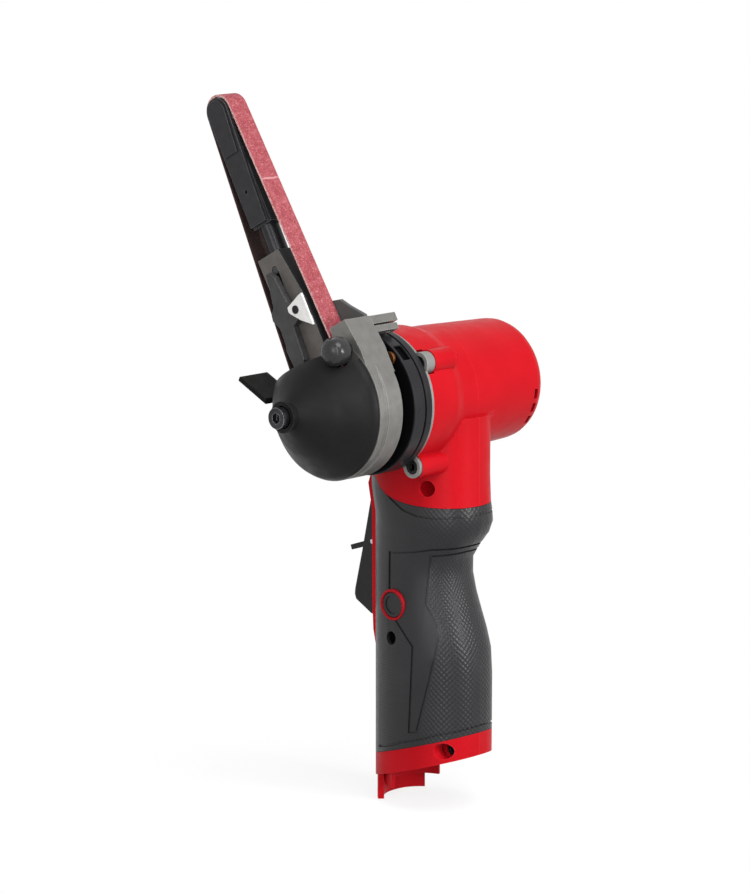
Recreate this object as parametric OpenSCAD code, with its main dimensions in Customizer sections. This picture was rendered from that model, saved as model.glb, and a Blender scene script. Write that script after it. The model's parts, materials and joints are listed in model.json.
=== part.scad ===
// Compact cordless belt file: pistol handle, motor barrel across it, swivelling head with a
// sprung belt arm. Origin: centre of the battery socket at the foot of the handle.
// +X is the motor axis towards the belt head, +Y the palm side, +Z up the handle.

/* [Handle] */
// Height of the motor axis above the socket
axis_z = 158; // [150:1:170]
// Width of the handle across its foot
base_width = 40; // [38:0.5:44]
// Depth of the handle at its foot, front to palm
base_depth = 51; // [48:0.5:56]
// Shift of the foot's middle towards the palm
base_mid = 3; // [2:0.25:4]
// Height where the straight foot ends
base_top_z = 45; // [42:1:50]
// Width of the waist
waist_width = 34; // [33:0.5:37]
// Depth of the waist
waist_depth = 41.8; // [41:0.2:45]
// Shift of the waist's middle towards the palm
waist_mid = -2.7; // [-3.5:0.1:-2]
// Height of the waist
waist_z = 87; // [84:1:89]
// Width of the palm swell
swell_width = 38; // [37:0.5:41]
// Depth of the palm swell
swell_depth = 52.4; // [51:0.2:56]
// Shift of the swell's middle towards the palm
swell_mid = 2.9; // [2:0.1:4]
// Height of the palm swell
swell_z = 106; // [104:1:108]
// Width of the neck under the barrel
neck_width = 38; // [37:0.5:40]
// Depth of the neck under the barrel
neck_depth = 53; // [51:0.5:56]
// Shift of the neck's middle towards the palm
neck_mid = 1; // [0:0.25:2]
// Height where the neck starts
neck_z = 118; // [116:1:120]
// Wall of the handle, from the outer skin to the hollow
handle_wall = 4.4; // [4:0.1:5]
// Squareness of the handle's sections, 2 is an ellipse
squareness = 2.3; // [2:0.1:2.6]
// Rise of the foot's rim per length towards the palm
rim_slope = 0.31; // [0.2:0.01:0.4]
// Height of the red band at the foot
band_height = 9.5; // [8:0.5:12]
// Depth of the lip at the front of the socket, below the origin
lip_drop = 15.5; // [12:0.5:18]
// Thickness of the soft grip
grip_thickness = 2; // [1.6:0.1:2.2]
// Height of the grip's upper edge at the palm
grip_top = 113.5; // [111:0.5:115]
// Extra height of the grip's horns beside the trigger
grip_horn = 9; // [7:0.5:10]
// How far the bead round the trigger stands out
bead_height = 1.8; // [1:0.1:2.5]

/* [Motor] */
// Outer radius of the motor barrel
barrel_r = 26.8; // [26.4:0.1:28]
// Inner radius of the motor barrel
barrel_bore_r = 23.4; // [23.3:0.05:23.8]
// Rear end of the barrel
barrel_back_x = -45; // [-49:0.5:-44]
// Radius of the motor and rotor bearings
motor_bearing_r = 6.5; // [6:0.1:7]
// Width of the rotor bearings
motor_bearing_w = 4.5; // [4:0.1:5]
// Radius of the rotor shaft
rotor_shaft_r = 2.5; // [2.2:0.05:2.6]
// Radius of the rotor core
rotor_r = 11.7; // [10:0.1:12]
// Length of the stator
stator_length = 28; // [24:0.5:28]

/* [Gear train] */
// Gear module
gear_module = 0.8; // [0.78:0.005:0.82]
// Teeth of the sun gear
sun_teeth = 15; // [15]
// Teeth of each planet gear
planet_teeth = 12; // [12]
// Teeth of the ring gear
ring_teeth = 39; // [39]
// Thinning of each tooth at the pitch circle
tooth_backlash = 0.22; // [0.15:0.01:0.3]
// Width of the planet gears
planet_width = 9.4; // [8:0.1:9.4]
// Radius of the output spindle
spindle_r = 4; // [3.6:0.1:4.4]
// Outer radius of the spindle bearing
spindle_bearing_r = 9.5; // [9:0.1:10.5]
// Radius of the gear case's flange
flange_r = 28.6; // [28:0.1:29.4]
// Front face of the gear case's flange
flange_front_x = 30; // [29.6:0.1:31]
// Thickness of the gear case's flange
flange_thickness = 1.6; // [1.4:0.1:2]
// Radius of the nose that carries the head
nose_r = 15.5; // [14.8:0.1:16]
// Radius of the black ring
ring_r = 29.5; // [28.5:0.1:29.7]
// Width of the black ring
ring_width = 10.2; // [9.4:0.1:10.4]

/* [Head] */
// Forward tilt of the arm at rest
arm_tilt = 28.6; // [20:0.1:40]
// Radius of the head's cup
cup_r = 29; // [28.6:0.1:29.4]
// Front face of the cup
cup_front_x = 60.4; // [60:0.1:62]
// Radius of the cover's rim
cover_r = 28.5; // [28:0.1:28.6]
// Wall of the cover
cover_wall = 2; // [1.6:0.1:2.4]
// Front end of the cover's boss
cover_front_x = 86; // [84:0.5:89]
// Distance along the arm where the cover is cut for the belt
cover_cut_v = 18; // [17:0.1:18.4]
// Radius of the tracking knob
knob_r = 5.9; // [5:0.1:6.2]

/* [Belt] */
// Width of the belt
belt_width = 9.525; // [9:0.025:10]
// Thickness of the belt
belt_thickness = 0.9; // [0.7:0.05:1]
// Middle of the belt along the spindle
belt_x = 53.6; // [53.4:0.1:54]
// Distance from the spindle to the tip roller
belt_reach = 129.6; // [126:0.1:134]
// Radius of the drive wheel
wheel_r = 14.2; // [13.6:0.1:14.6]
// Radius of the tip roller
tip_r = 6.05; // [5.6:0.05:6.3]
// Gap between the belt and its wheels
belt_gap = 0.2; // [0.15:0.05:0.3]

/* [Arm] */
// Upper end of the fork along the arm
fork_top_v = 67.4; // [66:0.1:69]
// Lower end of the tip block along the arm
holder_v = 79.5; // [78:0.1:82]
// Radius of the slide rod
rod_r = 4; // [3.6:0.05:4.2]
// Slide of the tip when it is let in
tip_travel = 6; // [4:0.5:6.5]
// Thickness of the tension lever
lever_thickness = 3; // [2.4:0.1:3.2]

/* [Controls] */
// Width of the trigger paddle
paddle_width = 12; // [11:0.2:12.6]
// Radius of the mode button
button_r = 5.1; // [4.6:0.1:5.4]
// Height of the mode button
button_z = 70.3; // [69.5:0.1:71]

/* [Hidden] */
$fn = 64;

// Clearances
seat = 0.1;       // between pieces that are fixed to each other
running = 0.05;   // radial, between a pin or shaft and its bore
clear = 0.4;      // between pieces that pass each other
through = 1;      // overrun of a cutting tool

// Colours
red = [0.84, 0.13, 0.16];
soft_grey = [0.24, 0.235, 0.24];
black = [0.16, 0.16, 0.17];
cast_grey = [0.55, 0.55, 0.53];
steel = [0.72, 0.73, 0.75];
brass = [0.6, 0.4, 0.2];
copper = [0.75, 0.42, 0.22];
board_green = [0.1, 0.32, 0.2];
belt_red = [0.76, 0.3, 0.33];

// Stations of the handle: height, half width, half depth, shift of the middle
stations = [
  [base_top_z, base_width / 2, base_depth / 2, base_mid],
  [waist_z, waist_width / 2, waist_depth / 2, waist_mid],
  [swell_z, swell_width / 2, swell_depth / 2, swell_mid],
  [neck_z, neck_width / 2, neck_depth / 2, neck_mid]
];
neck_top = axis_z - 8;
strip_edge = -64.5;   // angle where the trigger bead ends and the grip starts
grip_edge = -63;
horn_start = 44;      // angle at the palm side where the grip's edge starts to rise
horn_rise = 30;       // steepness of that rise
grip_step = 0.3;      // height of the slanted shoulder at the grip's edges

// Screws of the clamshell: palm-side shift and height
screw_sites = [[14.3, 121.2], [-3.5, 56.4], [base_mid + base_depth / 2 - 6.9, 12]];
screw_head_x = 6.4;
screw_r = 1.5;
screw_head_r = 2.9;
screw_head_h = 2.4;
screw_end_x = -10;
recess_r = 3.4;
boss_r = 4.6;

// Places along the motor axis
barrel_front_x = flange_front_x - flange_thickness;
barrel_wall_back = 3.5;
barrel_inner_x = barrel_back_x + barrel_wall_back;
rear_bearing_x = barrel_inner_x + 0.5;
front_bearing_x = 7.5;
case_back_x = front_bearing_x - 2;
stator_front_x = 1;
stator_back_x = stator_front_x - stator_length;
winding_h = 4;
fan_w = 4;
fan_x = stator_back_x - winding_h - clear - fan_w;
fan_r = 19.5;
gear_x = front_bearing_x + motor_bearing_w + 2;
carrier_x = gear_x + planet_width + 0.8;
carrier_w = 3;
case_cavity_x = carrier_x + carrier_w + 0.4;
case_cavity_r = 18.2;
nose_end_x = 47.4;
spindle_bearing_w = 6;
spindle_bearing_x = nose_end_x - spindle_bearing_w - 0.6;
ring_x = flange_front_x + 0.6;
ring_front_x = ring_x + ring_width;
lug_r = 4.6;
case_head_r = 3;
lug_high = ring_r - 2.2;   // distance of the upper and lower lugs from the axis
lug_low = ring_r + 1.5;
lug_sites = [polar(lug_high, 38.5), polar(lug_high, 141.5), polar(lug_low, -55.5), polar(lug_low, -124.5)];
lug_backs = [25, 25, 26.6, 26.6];   // rear ends of the gear case's lugs
ring_screw_site = polar(ring_r - 3.57, 50.5);
ring_screw_r = 1.5;
case_screw_r = 1.8;
case_head_h = 1.8;
case_screw_x = flange_front_x - case_head_h - 0.1;
case_screw_tail = 13.5;
collar_r = barrel_r + 1.8;

// Places of the head
hub_x = ring_front_x + 0.6;
web_x = 46;
web_front_x = belt_x - belt_width / 2 - 0.5;
hub_r = 20.5;
cup_wall = 2.5;
retainer_x = web_x + 0.15;
retainer_w = 1;
retainer_r = 17.2;
spindle_end_x = belt_x + belt_width / 2 + 0.2;
wheel_w = belt_width - 0.4;
wheel_x = belt_x - wheel_w / 2;
cover_boss_r = 6.4;
cover_bore_r = 4.7;
cover_rim_h = 1.2;
knob_u = 22.4;
knob_v = 16.6;
knob_x = cup_front_x + 3.6;
knob_h = 9;
knob_stem_r = 2.4;
shoulder_u = wheel_r + belt_gap + belt_thickness + 1.5;
shoulder_edge_u = shoulder_u + 9.2;
ear_slit = 0.8;
ear_high_u = shoulder_u + 0.6;
ear_low_u = shoulder_u + 4.9;
ear_split_v = outside_ring(ear_high_u, clear) - ear_slit;
ear_low_v = outside_ring(ear_low_u, clear + 0.2);
shoulder_v = ear_split_v + ear_slit + 3.6;
ear_x = flange_front_x + 1.2;
guard_t = 2;
wheel_screw_r = 2.4;
arm_screw_r = 1.5;
clamp_x = 36;
clamp_u = ear_low_u + 2;
clamp_r = 1.3;

// Belt path: outer and inner radii at the wheel and at the tip
wheel_in = wheel_r + belt_gap;
tip_in = tip_r + belt_gap;
wheel_out = wheel_in + belt_thickness;
tip_out = tip_in + belt_thickness;

// Places of the arm
fork_x0 = web_front_x + 0.1;
fork_x1 = 2 * belt_x - fork_x0 + 0.4;
rod_u = -0.5;
rod_end_v = fork_top_v - 12.4;
rod_bore_top_v = fork_top_v + 8.6;
fork_bore_v = rod_end_v - tip_travel - 1;
slide_pin_u = -1.1;
slide_pin_v = fork_top_v - 6.8;
slide_pin_r = 1.5;
spring_r = 2.4;
rod_bore_r = 2.7;
pivot_u = 6.4;
pivot_v = 40.8;
pivot_r = 1.7;
lever_x = fork_x1 + clear;
plate_x0 = lever_x + lever_thickness + clear;
plate_t = 1;
holder_w = belt_width - 0.8;
cheek_t = 1.5;
roller_w = holder_w - 0.8;
roller_bore_r = 1.5;
tip_cover_v = belt_reach - 18.6;

// Places of the trigger group
pivot_y = -15;
pivot_z = 110;
trigger_pin_r = 1.5;
trigger_pin_half = 9.6;
tab_y = -27;
tab_z = 91.4;
tab_lean = 19;
tab_pin_r = 1;
tab_half = 3;
slot_half = paddle_width / 2 + 0.7;
slot_z0 = 58;
slot_z1 = 113.5;
button_y = -3.4;
bezel_r = button_r + 1.4;
bezel_x = 16.8;
button_face_x = 18.5;
button_tail_x = 10.5;
terminal_z = 45;
switch_back_y = 2;

// Lines of the grip's side panels, seen from between the side and the palm: shift across and height
panel_turn = 43;
panel_lines = [
  [[-16.2, button_z + 5.2], [-16.1, 91.8], [1, 95.6], [17.6, 96.3]],
  [[16.6, 93.7], [0.6, 92.7], [-1.4, 72.5], [4.6, 62.2], [-5.1, 19.3], [-8.2, 18.4], [-6.8, 54.8],
   [-14.2, button_z - 5.4]],
  [[-18.4, grip_top + 4.1], [-15.6, grip_top + 1.2], [-10.8, grip_top - 2.4], [-5.3, grip_top - 3.9],
   [1.6, grip_top - 4.3], [9.8, grip_top - 3.8], [22, grip_top - 3]],
  [[-21.5, 8], [-10.7, 13.8], [3.2, 18.9], [17.2, 21.4], [22.5, 21.6]]
];

// Helpers

function ease(t) = t <= 0 ? 0 : t >= 1 ? 1 : t * t * (3 - 2 * t);
function mix(a, b, t) = a + (b - a) * t;
// Distance along the arm at which something at u across it clears the black ring by gap
function outside_ring(u, gap) = sqrt(pow(ring_r + gap, 2) - u * u);
function signed_power(v, e) = sign(v) * pow(abs(v), e);

// One measure of the handle at a height: 1 half width, 2 half depth, 3 shift of the middle
function handle_measure(z, k) =
  let (i = z < stations[1][0] ? 0 : z < stations[2][0] ? 1 : 2)
  let (t = (z - stations[i][0]) / (stations[i + 1][0] - stations[i][0]))
  mix(stations[i][k], stations[i + 1][k], ease(t));

// A point of the handle's skin, moved inwards by inset; angle 0 is the +X side, 90 the palm
function skin(z, angle, inset) = [
  (handle_measure(z, 1) - inset) * signed_power(cos(angle), 2 / squareness),
  handle_measure(z, 3) + (handle_measure(z, 2) - inset) * signed_power(sin(angle), 2 / squareness),
  z
];

function rim_z(angle) = rim_slope * skin(0, angle, 0)[1];
function grip_low_z(angle) = rim_z(angle) + band_height;
function grip_high_z(angle) =
  grip_top + min(grip_horn, horn_rise * pow(max(0, horn_start - angle) / (horn_start - grip_edge), 4));
function bead(z) = bead_height * ease((z - slot_z0 + 6) / 5) * ease((neck_z + 6 - z) / 5);

// Angles of the columns: the bead first, then the part under the grip
bead_angles = [for (i = [0:3]) mix(-90, strip_edge, i / 3)];
grip_angles = [for (i = [0:16]) mix(grip_edge, 90, i / 16)];
core_angles = concat(bead_angles, grip_angles);
grip_rows = [0, 0.12, 0.25, 0.36, 0.44, 0.52, 0.6, 0.68, 0.75, 0.81, 0.87, 0.92, 0.96, 1];

function grip_row_z(angle, t, margin) = mix(grip_low_z(angle) + margin, grip_high_z(angle) - margin, t);

// One level of a wall: the outer points in order, then the inner points back again
function wall_ring(outer, inner) = concat(outer, [for (i = [len(inner) - 1:-1:0]) inner[i]]);

// Closes a stack of wall rings into one solid
module wall_loft(rings) {
  n = len(rings[0]);
  half = n / 2;
  rows = len(rings);
  points = [for (ring = rings) each ring];
  sides = [for (r = [0:rows - 2], i = [0:n - 1])
    let (a = r * n + i, b = r * n + (i + 1) % n)
    each [[a, a + n, b], [b, a + n, b + n]]];
  low_cap = [for (i = [0:half - 2])
    each [[i, i + 1, n - 1 - i], [i + 1, n - 2 - i, n - 1 - i]]];
  top = (rows - 1) * n;
  high_cap = [for (f = low_cap) [top + f[0], top + f[2], top + f[1]]];
  polyhedron(points, concat(sides, low_cap, high_cap));
}

// Things along the motor axis: local z runs along +X, local y stays +Y
module on_axis(x = 0) {
  translate([x, 0, axis_z]) rotate([0, 90, 0]) children();
}

module rod_x(x0, x1, r, y, z) {
  translate([x0, y, z]) rotate([0, 90, 0]) cylinder(h = x1 - x0, r = r);
}

module tube_on_axis(x0, x1, outer, inner) {
  on_axis(x0) difference() {
    cylinder(h = x1 - x0, r = outer);
    translate([0, 0, -through]) cylinder(h = x1 - x0 + 2 * through, r = inner);
  }
}

// A flat shape in Y and Z, extruded along X
module prism_x(x0, x1) {
  translate([x0, 0, 0]) rotate([90, 0, 90]) linear_extrude(height = x1 - x0) children();
}

// The head's own frame: Y becomes u, across the arm, and Z becomes v, along it
module arm() {
  translate([0, 0, axis_z]) rotate([arm_tilt, 0, 0]) children();
}

module box(x0, x1, y0, y1, z0, z1) {
  translate([x0, y0, z0]) cube([x1 - x0, y1 - y0, z1 - z0]);
}

// Handle and grips

module core_half() {
  function inset_at(angle, z) = angle > strip_edge ? grip_thickness : -bead(z);
  band_rows = [0, 1];
  upper_rows = [0, 0.3, 0.6, 1];
  inner_at = function(angle, z) skin(z, angle, handle_wall);
  band = [for (t = band_rows)
    wall_ring(
      [for (a = core_angles) skin(mix(rim_z(a), grip_low_z(a), t), a, 0)],
      [for (a = core_angles) inner_at(a, mix(rim_z(a), grip_low_z(a), t))])];
  covered = [for (t = grip_rows)
    wall_ring(
      [for (a = core_angles) let (z = grip_row_z(a, t, grip_step)) skin(z, a, inset_at(a, z))],
      [for (a = core_angles) inner_at(a, grip_row_z(a, t, grip_step))])];
  upper = [for (t = upper_rows)
    wall_ring(
      [for (a = core_angles)
        let (z = mix(grip_high_z(a), neck_top, t))
        skin(z, a, a > strip_edge ? 0 : -bead(z))],
      [for (a = core_angles) inner_at(a, mix(grip_high_z(a), neck_top, t))])];
  wall_loft(concat(band, covered, upper));
}

// A strip of wall that hangs below the rim of the socket
module hanging_wall(angle_0, angle_1, outer_inset, inner_inset, low_z, high_shift, columns = 6) {
  angles = [for (i = [0:columns]) mix(angle_0, angle_1, i / columns)];
  wall_loft([
    wall_ring(
      [for (a = angles) let (p = skin(0, a, outer_inset)) [p[0], p[1], min(low_z, rim_z(a) - 2)]],
      [for (a = angles) let (p = skin(0, a, inner_inset)) [p[0], p[1], min(low_z, rim_z(a) - 2)]]),
    wall_ring(
      [for (a = angles) let (p = skin(0, a, outer_inset)) [p[0], p[1], rim_z(a) + high_shift]],
      [for (a = angles) let (p = skin(0, a, inner_inset)) [p[0], p[1], rim_z(a) + high_shift]])
  ]);
}

module foot_half() {
  lip_inset = 0.7;
  lip_wall = 2.4;
  sleeve_inset = 3.6;
  sleeve_wall = 1.6;
  sleeve_low = -9;
  hanging_wall(-90, -44, lip_inset, lip_inset + lip_wall, -lip_drop, 3);
  hanging_wall(-90, -24, sleeve_inset, sleeve_inset + sleeve_wall, sleeve_low, 3.5);
}

module lug_outline(lug) {
  for (site = lug_sites) {
    translate(site) circle(r = lug);
    rotate(atan2(site[1], site[0])) translate([lug, -0.85 * lug]) square([norm(site) - lug, 1.7 * lug]);
  }
}

module barrel_solid(x0, x1) {
  taper = 1.4;
  shoulder = 7;
  tail_x = barrel_back_x + shoulder;
  tail_r = barrel_r - taper;
  steps = 6;
  on_axis() intersection() {
    rotate_extrude() polygon(concat(
      [[0, barrel_back_x]],
      [for (i = [0:steps])
        [tail_r - shoulder + shoulder * sin(90 * i / steps), tail_x - shoulder * cos(90 * i / steps)]],
      [[barrel_r, 0], [barrel_r, 8], [collar_r, 15], [collar_r, barrel_front_x], [0, barrel_front_x]]));
    translate([0, 0, x0]) cylinder(h = x1 - x0, r = 2 * barrel_r);
  }
}

module barrel_hollow() {
  on_axis(barrel_inner_x) cylinder(h = barrel_front_x - barrel_inner_x + through, r = barrel_bore_r);
  box(-13, 13, -14, 14, axis_z - barrel_r - 2, axis_z - barrel_bore_r + 4);
}

// Bosses behind the gear case's lugs, with room for the lugs
module collar() {
  lobe_x = 13;
  translate([0, 0, axis_z]) difference() {
    union() {
      prism_x(lobe_x, barrel_front_x) lug_outline(lug_r + 0.4);
      for (site = lug_sites) translate([lobe_x - 4, site[0], site[1]])
        rotate([0, 90, 0]) cylinder(h = 4.5, r1 = 1.5, r2 = lug_r + 0.4);
    }
    on_axis_flat() cylinder(h = 60, r = barrel_bore_r + 1);
  }
}

module lug_room() {
  for (i = [0:3])
    rod_x(lug_backs[i] - 0.2, barrel_front_x + through, lug_r + (i < 2 ? 1.2 : 0.2),
      lug_sites[i][0], axis_z + lug_sites[i][1]);
}

module on_axis_flat() {
  rotate([0, 90, 0]) children();
}

module trigger_slot() {
  box(-slot_half, slot_half, -50, -13, slot_z0, slot_z1);
  rod_x(-trigger_pin_half, trigger_pin_half, trigger_pin_r + seat / 5, pivot_y, pivot_z);
}

// Vent slots low on both sides of the barrel's rear end
module vents() {
  vent_w = 2.2;
  vent_h = 4.4;
  for (side = [0, 1], angle = [-8, -22, -36])
    mirror([0, side, 0])
      translate([barrel_back_x + 7, 0, axis_z]) rotate([angle, 0, 0])
        box(-vent_w / 2, vent_w / 2, barrel_bore_r - 6, barrel_r + 4, -vent_h / 2, vent_h / 2);
}

// Shelves that hold the terminal block, the switch and the trigger's pin
module inner_ribs() {
  box(9.4, 16.4, -6, 6, terminal_z - 2.2, terminal_z);
  box(7.5 + seat, 13.4, -9, -5, 84, 87);
  box(slot_half, trigger_pin_half + 0.6, pivot_y - 2.2, pivot_y + 2.4, pivot_z - 4, pivot_z + 4);
}

module housing_right() {
  boss_tip = 14;
  color(red) difference() {
    union() {
      core_half();
      foot_half();
      barrel_solid(0, barrel_front_x);
      collar();
      inner_ribs();
      rod_x(12, bezel_x, bezel_r, button_y, button_z);
      for (site = screw_sites) rod_x(0, site[1] < base_top_z ? 9 : boss_tip, boss_r, site[0], site[1]);
    }
    barrel_hollow();
    trigger_slot();
    rod_x(8, 30, button_r + 0.3, button_y, button_z);
    for (site = screw_sites) {
      rod_x(-through, screw_head_x + through, screw_r + seat, site[0], site[1]);
      rod_x(screw_head_x, 30, recess_r, site[0], site[1]);
    }
    lug_room();
    for (site = lug_sites)
      rod_x(case_screw_tail - 0.5, barrel_front_x + through, case_screw_r, site[0], axis_z + site[1]);
  }
}

module housing_left() {
  bearing_boss = 3;
  color(red) difference() {
    union() {
      difference() {
        union() {
          mirror([1, 0, 0]) core_half();
          mirror([1, 0, 0]) foot_half();
          barrel_solid(barrel_back_x, 0);
          mirror([1, 0, 0]) inner_ribs();
        }
        barrel_hollow();
        trigger_slot();
        vents();
      }
      for (site = screw_sites) rod_x(site[1] < base_top_z ? -9 : -14, 0, boss_r, site[0], site[1]);
      tube_on_axis(barrel_inner_x - through, rear_bearing_x + motor_bearing_w,
        motor_bearing_r + bearing_boss, motor_bearing_r + running / 2);
    }
    for (site = screw_sites) rod_x(screw_end_x - through, through, screw_r, site[0], site[1]);
  }
}

// A line of constant width through some points of a plane
module stroke(points, width) {
  for (i = [0:len(points) - 2]) {
    run = points[i + 1] - points[i];
    translate(points[i]) {
      circle(r = 0.55 * width, $fn = 12);
      rotate(atan2(run[1], run[0])) translate([0, -width / 2]) square([norm(run), width]);
    }
  }
  translate(points[len(points) - 1]) circle(r = 0.55 * width, $fn = 12);
}

// Shallow lines that part the grip's side into panels
module panel_grooves() {
  groove_w = 0.9;
  groove_d = 0.55;
  layer = function(depth) [for (t = grip_rows) [for (a = grip_angles) skin(grip_row_z(a, t, 0), a, depth)]];
  above = layer(-1);
  below = layer(groove_d);
  intersection() {
    wall_loft([for (i = [0:len(grip_rows) - 1]) wall_ring(above[i], below[i])]);
    rotate([0, 0, panel_turn]) prism_x(4, base_width) for (line = panel_lines) stroke(line, groove_w);
  }
}

module grip_half() {
  gap = 0.18;
  edge = grip_edge + 0.9;
  outer_ring = function(t) [for (a = grip_angles)
    let (z = grip_row_z(a, t, gap)) skin(z, max(a, edge), 0)];
  inner_ring = function(t) [for (a = grip_angles)
    let (z = grip_row_z(a, t, grip_step + gap)) skin(z, max(a, edge), grip_thickness - gap)];
  wall_loft([for (t = grip_rows) wall_ring(outer_ring(t), inner_ring(t))]);
}

module grip_right() {
  notch_r = 4.4;
  color(soft_grey) difference() {
    grip_half();
    panel_grooves();
    rod_x(8, 30, bezel_r + seat, button_y, button_z);
    rod_x(8, 30, recess_r - 0.6, screw_sites[1][0], screw_sites[1][1]);
    rod_x(8, 30, recess_r + 0.4, screw_sites[2][0], screw_sites[2][1]);
    rod_x(8, 30, notch_r, screw_sites[0][0], screw_sites[0][1]);
  }
}

module grip_left() {
  color(soft_grey) mirror([1, 0, 0]) difference() {
    grip_half();
    panel_grooves();
  }
}

module housing_screws() {
  socket_r = 1.4;
  color(steel) for (site = screw_sites) difference() {
    union() {
      rod_x(screw_end_x, screw_head_x, screw_r - running, site[0], site[1]);
      rod_x(screw_head_x, screw_head_x + screw_head_h, screw_head_r, site[0], site[1]);
    }
    rod_x(screw_head_x + screw_head_h - 1.4, screw_head_x + screw_head_h + through, socket_r,
      site[0], site[1]);
  }
}

// Controls

module mode_bezel() {
  color(red) difference() {
    rod_x(bezel_x, button_face_x + 0.4, bezel_r, button_y, button_z);
    rod_x(bezel_x - through, button_face_x + 2, button_r + 0.3, button_y, button_z);
  }
}

module mode_button() {
  dish = 0.5;
  color(soft_grey) difference() {
    rod_x(button_tail_x, button_face_x, button_r, button_y, button_z);
    rod_x(button_face_x - dish, button_face_x + through, button_r - 1.2, button_y, button_z);
  }
}

module button_switch() {
  press_travel = 1.8;
  color(black) box(5, button_tail_x - press_travel, -8, switch_back_y, button_z - 5, button_z + 4.8);
}

module paddle_outline() {
  polygon([
    [pivot_y + 2.6, pivot_z - 3], [pivot_y + 2.6, pivot_z + 2], [pivot_y - 3, pivot_z + 2.6],
    [-24, 112], [-27.2, 109.4], [-31.9, 88], [-36.2, 70], [-36.4, 67.6], [-35.6, 65.6],
    [-27, 60.8], [-25.6, 60.6], [-22.4, 62.4], [-22.4, 97], [-19.4, 98], [-19.4, 100.6], [-22, 101.6]
  ]);
}

module trigger_paddle() {
  half = paddle_width / 2;
  spring_half = 3.4;
  color(black) difference() {
    prism_x(-half, half) paddle_outline();
    rod_x(-half - through, half + through, trigger_pin_r + running, pivot_y, pivot_z);
    box(-spring_half, spring_half, pivot_y - 3.6, pivot_y + 6, pivot_z - 3.6, pivot_z + 6);
    box(-tab_half - clear, tab_half + clear, -40, -10, tab_z - 5.4, tab_z + 4);
    rod_x(-half - through, half + through, tab_pin_r, tab_y, tab_z);
  }
}

module trigger_pin() {
  color(steel) rod_x(-trigger_pin_half, trigger_pin_half, trigger_pin_r, pivot_y, pivot_z);
}

module trigger_spring() {
  coil_half = 2.8;
  color(steel) difference() {
    rod_x(-coil_half, coil_half, 2.6, pivot_y, pivot_z);
    rod_x(-coil_half - through, coil_half + through, trigger_pin_r + running, pivot_y, pivot_z);
  }
}

module lock_tab() {
  tab_t = 2.2;
  tab_reach = 15.2;
  tail = 3.2;
  color(black) translate([0, tab_y, tab_z]) rotate([tab_lean, 0, 0]) difference() {
    union() {
      box(-tab_half, tab_half, -tab_reach, tail, -tab_t / 2, tab_t / 2);
      rod_x(-tab_half, tab_half, 2.2, 0, 0);
    }
    rod_x(-tab_half - through, tab_half + through, tab_pin_r + running, 0, 0);
  }
}

module lock_pin() {
  color(steel) rod_x(-paddle_width / 2 + 0.3, paddle_width / 2 - 0.3, tab_pin_r, tab_y, tab_z);
}

module trigger_switch() {
  color(black) box(-7.5, 7.5, -15, switch_back_y, button_z + 5.4, 101);
}

module controller_board() {
  color(board_green) box(-10, 10, switch_back_y, switch_back_y + 1.6, 62, 104);
}

module terminal_block() {
  color(black) box(-10.6, 10.6, -11, 15, terminal_z, terminal_z + 6);
}

module contact_blades() {
  blade_t = 0.8;
  color(steel) for (y = [-7, 1, 9])
    box(-blade_t / 2, blade_t / 2, y - 3, y + 3, terminal_z - 9, terminal_z);
}

// Motor

module stator() {
  color(steel) tube_on_axis(stator_back_x, stator_front_x, barrel_bore_r - seat, rotor_r + 0.5);
}

module stator_windings() {
  color(copper) {
    tube_on_axis(stator_front_x, stator_front_x + winding_h, 20, rotor_r + 1.5);
    tube_on_axis(stator_back_x - winding_h, stator_back_x, 20, rotor_r + 1.5);
  }
}

module rotor_core() {
  color(steel) tube_on_axis(stator_back_x, stator_front_x, rotor_r, rotor_shaft_r);
}

module rotor_shaft() {
  color(steel) on_axis(rear_bearing_x)
    cylinder(h = gear_x + planet_width - rear_bearing_x, r = rotor_shaft_r);
}

module cooling_fan() {
  blades = 9;
  blade_t = 1.2;
  disc_t = 1.4;
  boss = rotor_shaft_r + 3;
  color(black) on_axis(fan_x) union() {
    rotate_extrude() polygon([
      [rotor_shaft_r, 0], [fan_r, 0], [fan_r, disc_t], [boss, disc_t], [boss, fan_w], [rotor_shaft_r, fan_w]
    ]);
    for (i = [0:blades - 1]) rotate(i * 360 / blades)
      translate([boss - 0.5, -blade_t / 2, disc_t / 2]) cube([fan_r - boss - 0.3, blade_t, fan_w - disc_t]);
  }
}

module rear_bearing() {
  color(steel) tube_on_axis(rear_bearing_x, rear_bearing_x + motor_bearing_w,
    motor_bearing_r, rotor_shaft_r + running);
}

module front_bearing() {
  color(steel) tube_on_axis(front_bearing_x, front_bearing_x + motor_bearing_w,
    motor_bearing_r, rotor_shaft_r + running);
}

// Gear train

pressure_angle = 20;
tooth_tip = 0.75;
tooth_root = 1.05;
function involute(a) = tan(a) * 180 / PI - a;

// Half the angle of a tooth at radius r
function tooth_half(r, teeth, thinning) =
  let (pitch_r = gear_module * teeth / 2, base_r = pitch_r * cos(pressure_angle))
  90 / teeth - thinning / 2 / pitch_r * 180 / PI
  + involute(pressure_angle) - involute(acos(min(1, base_r / max(r, base_r))));

function polar(r, a) = [r * cos(a), r * sin(a)];

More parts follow.
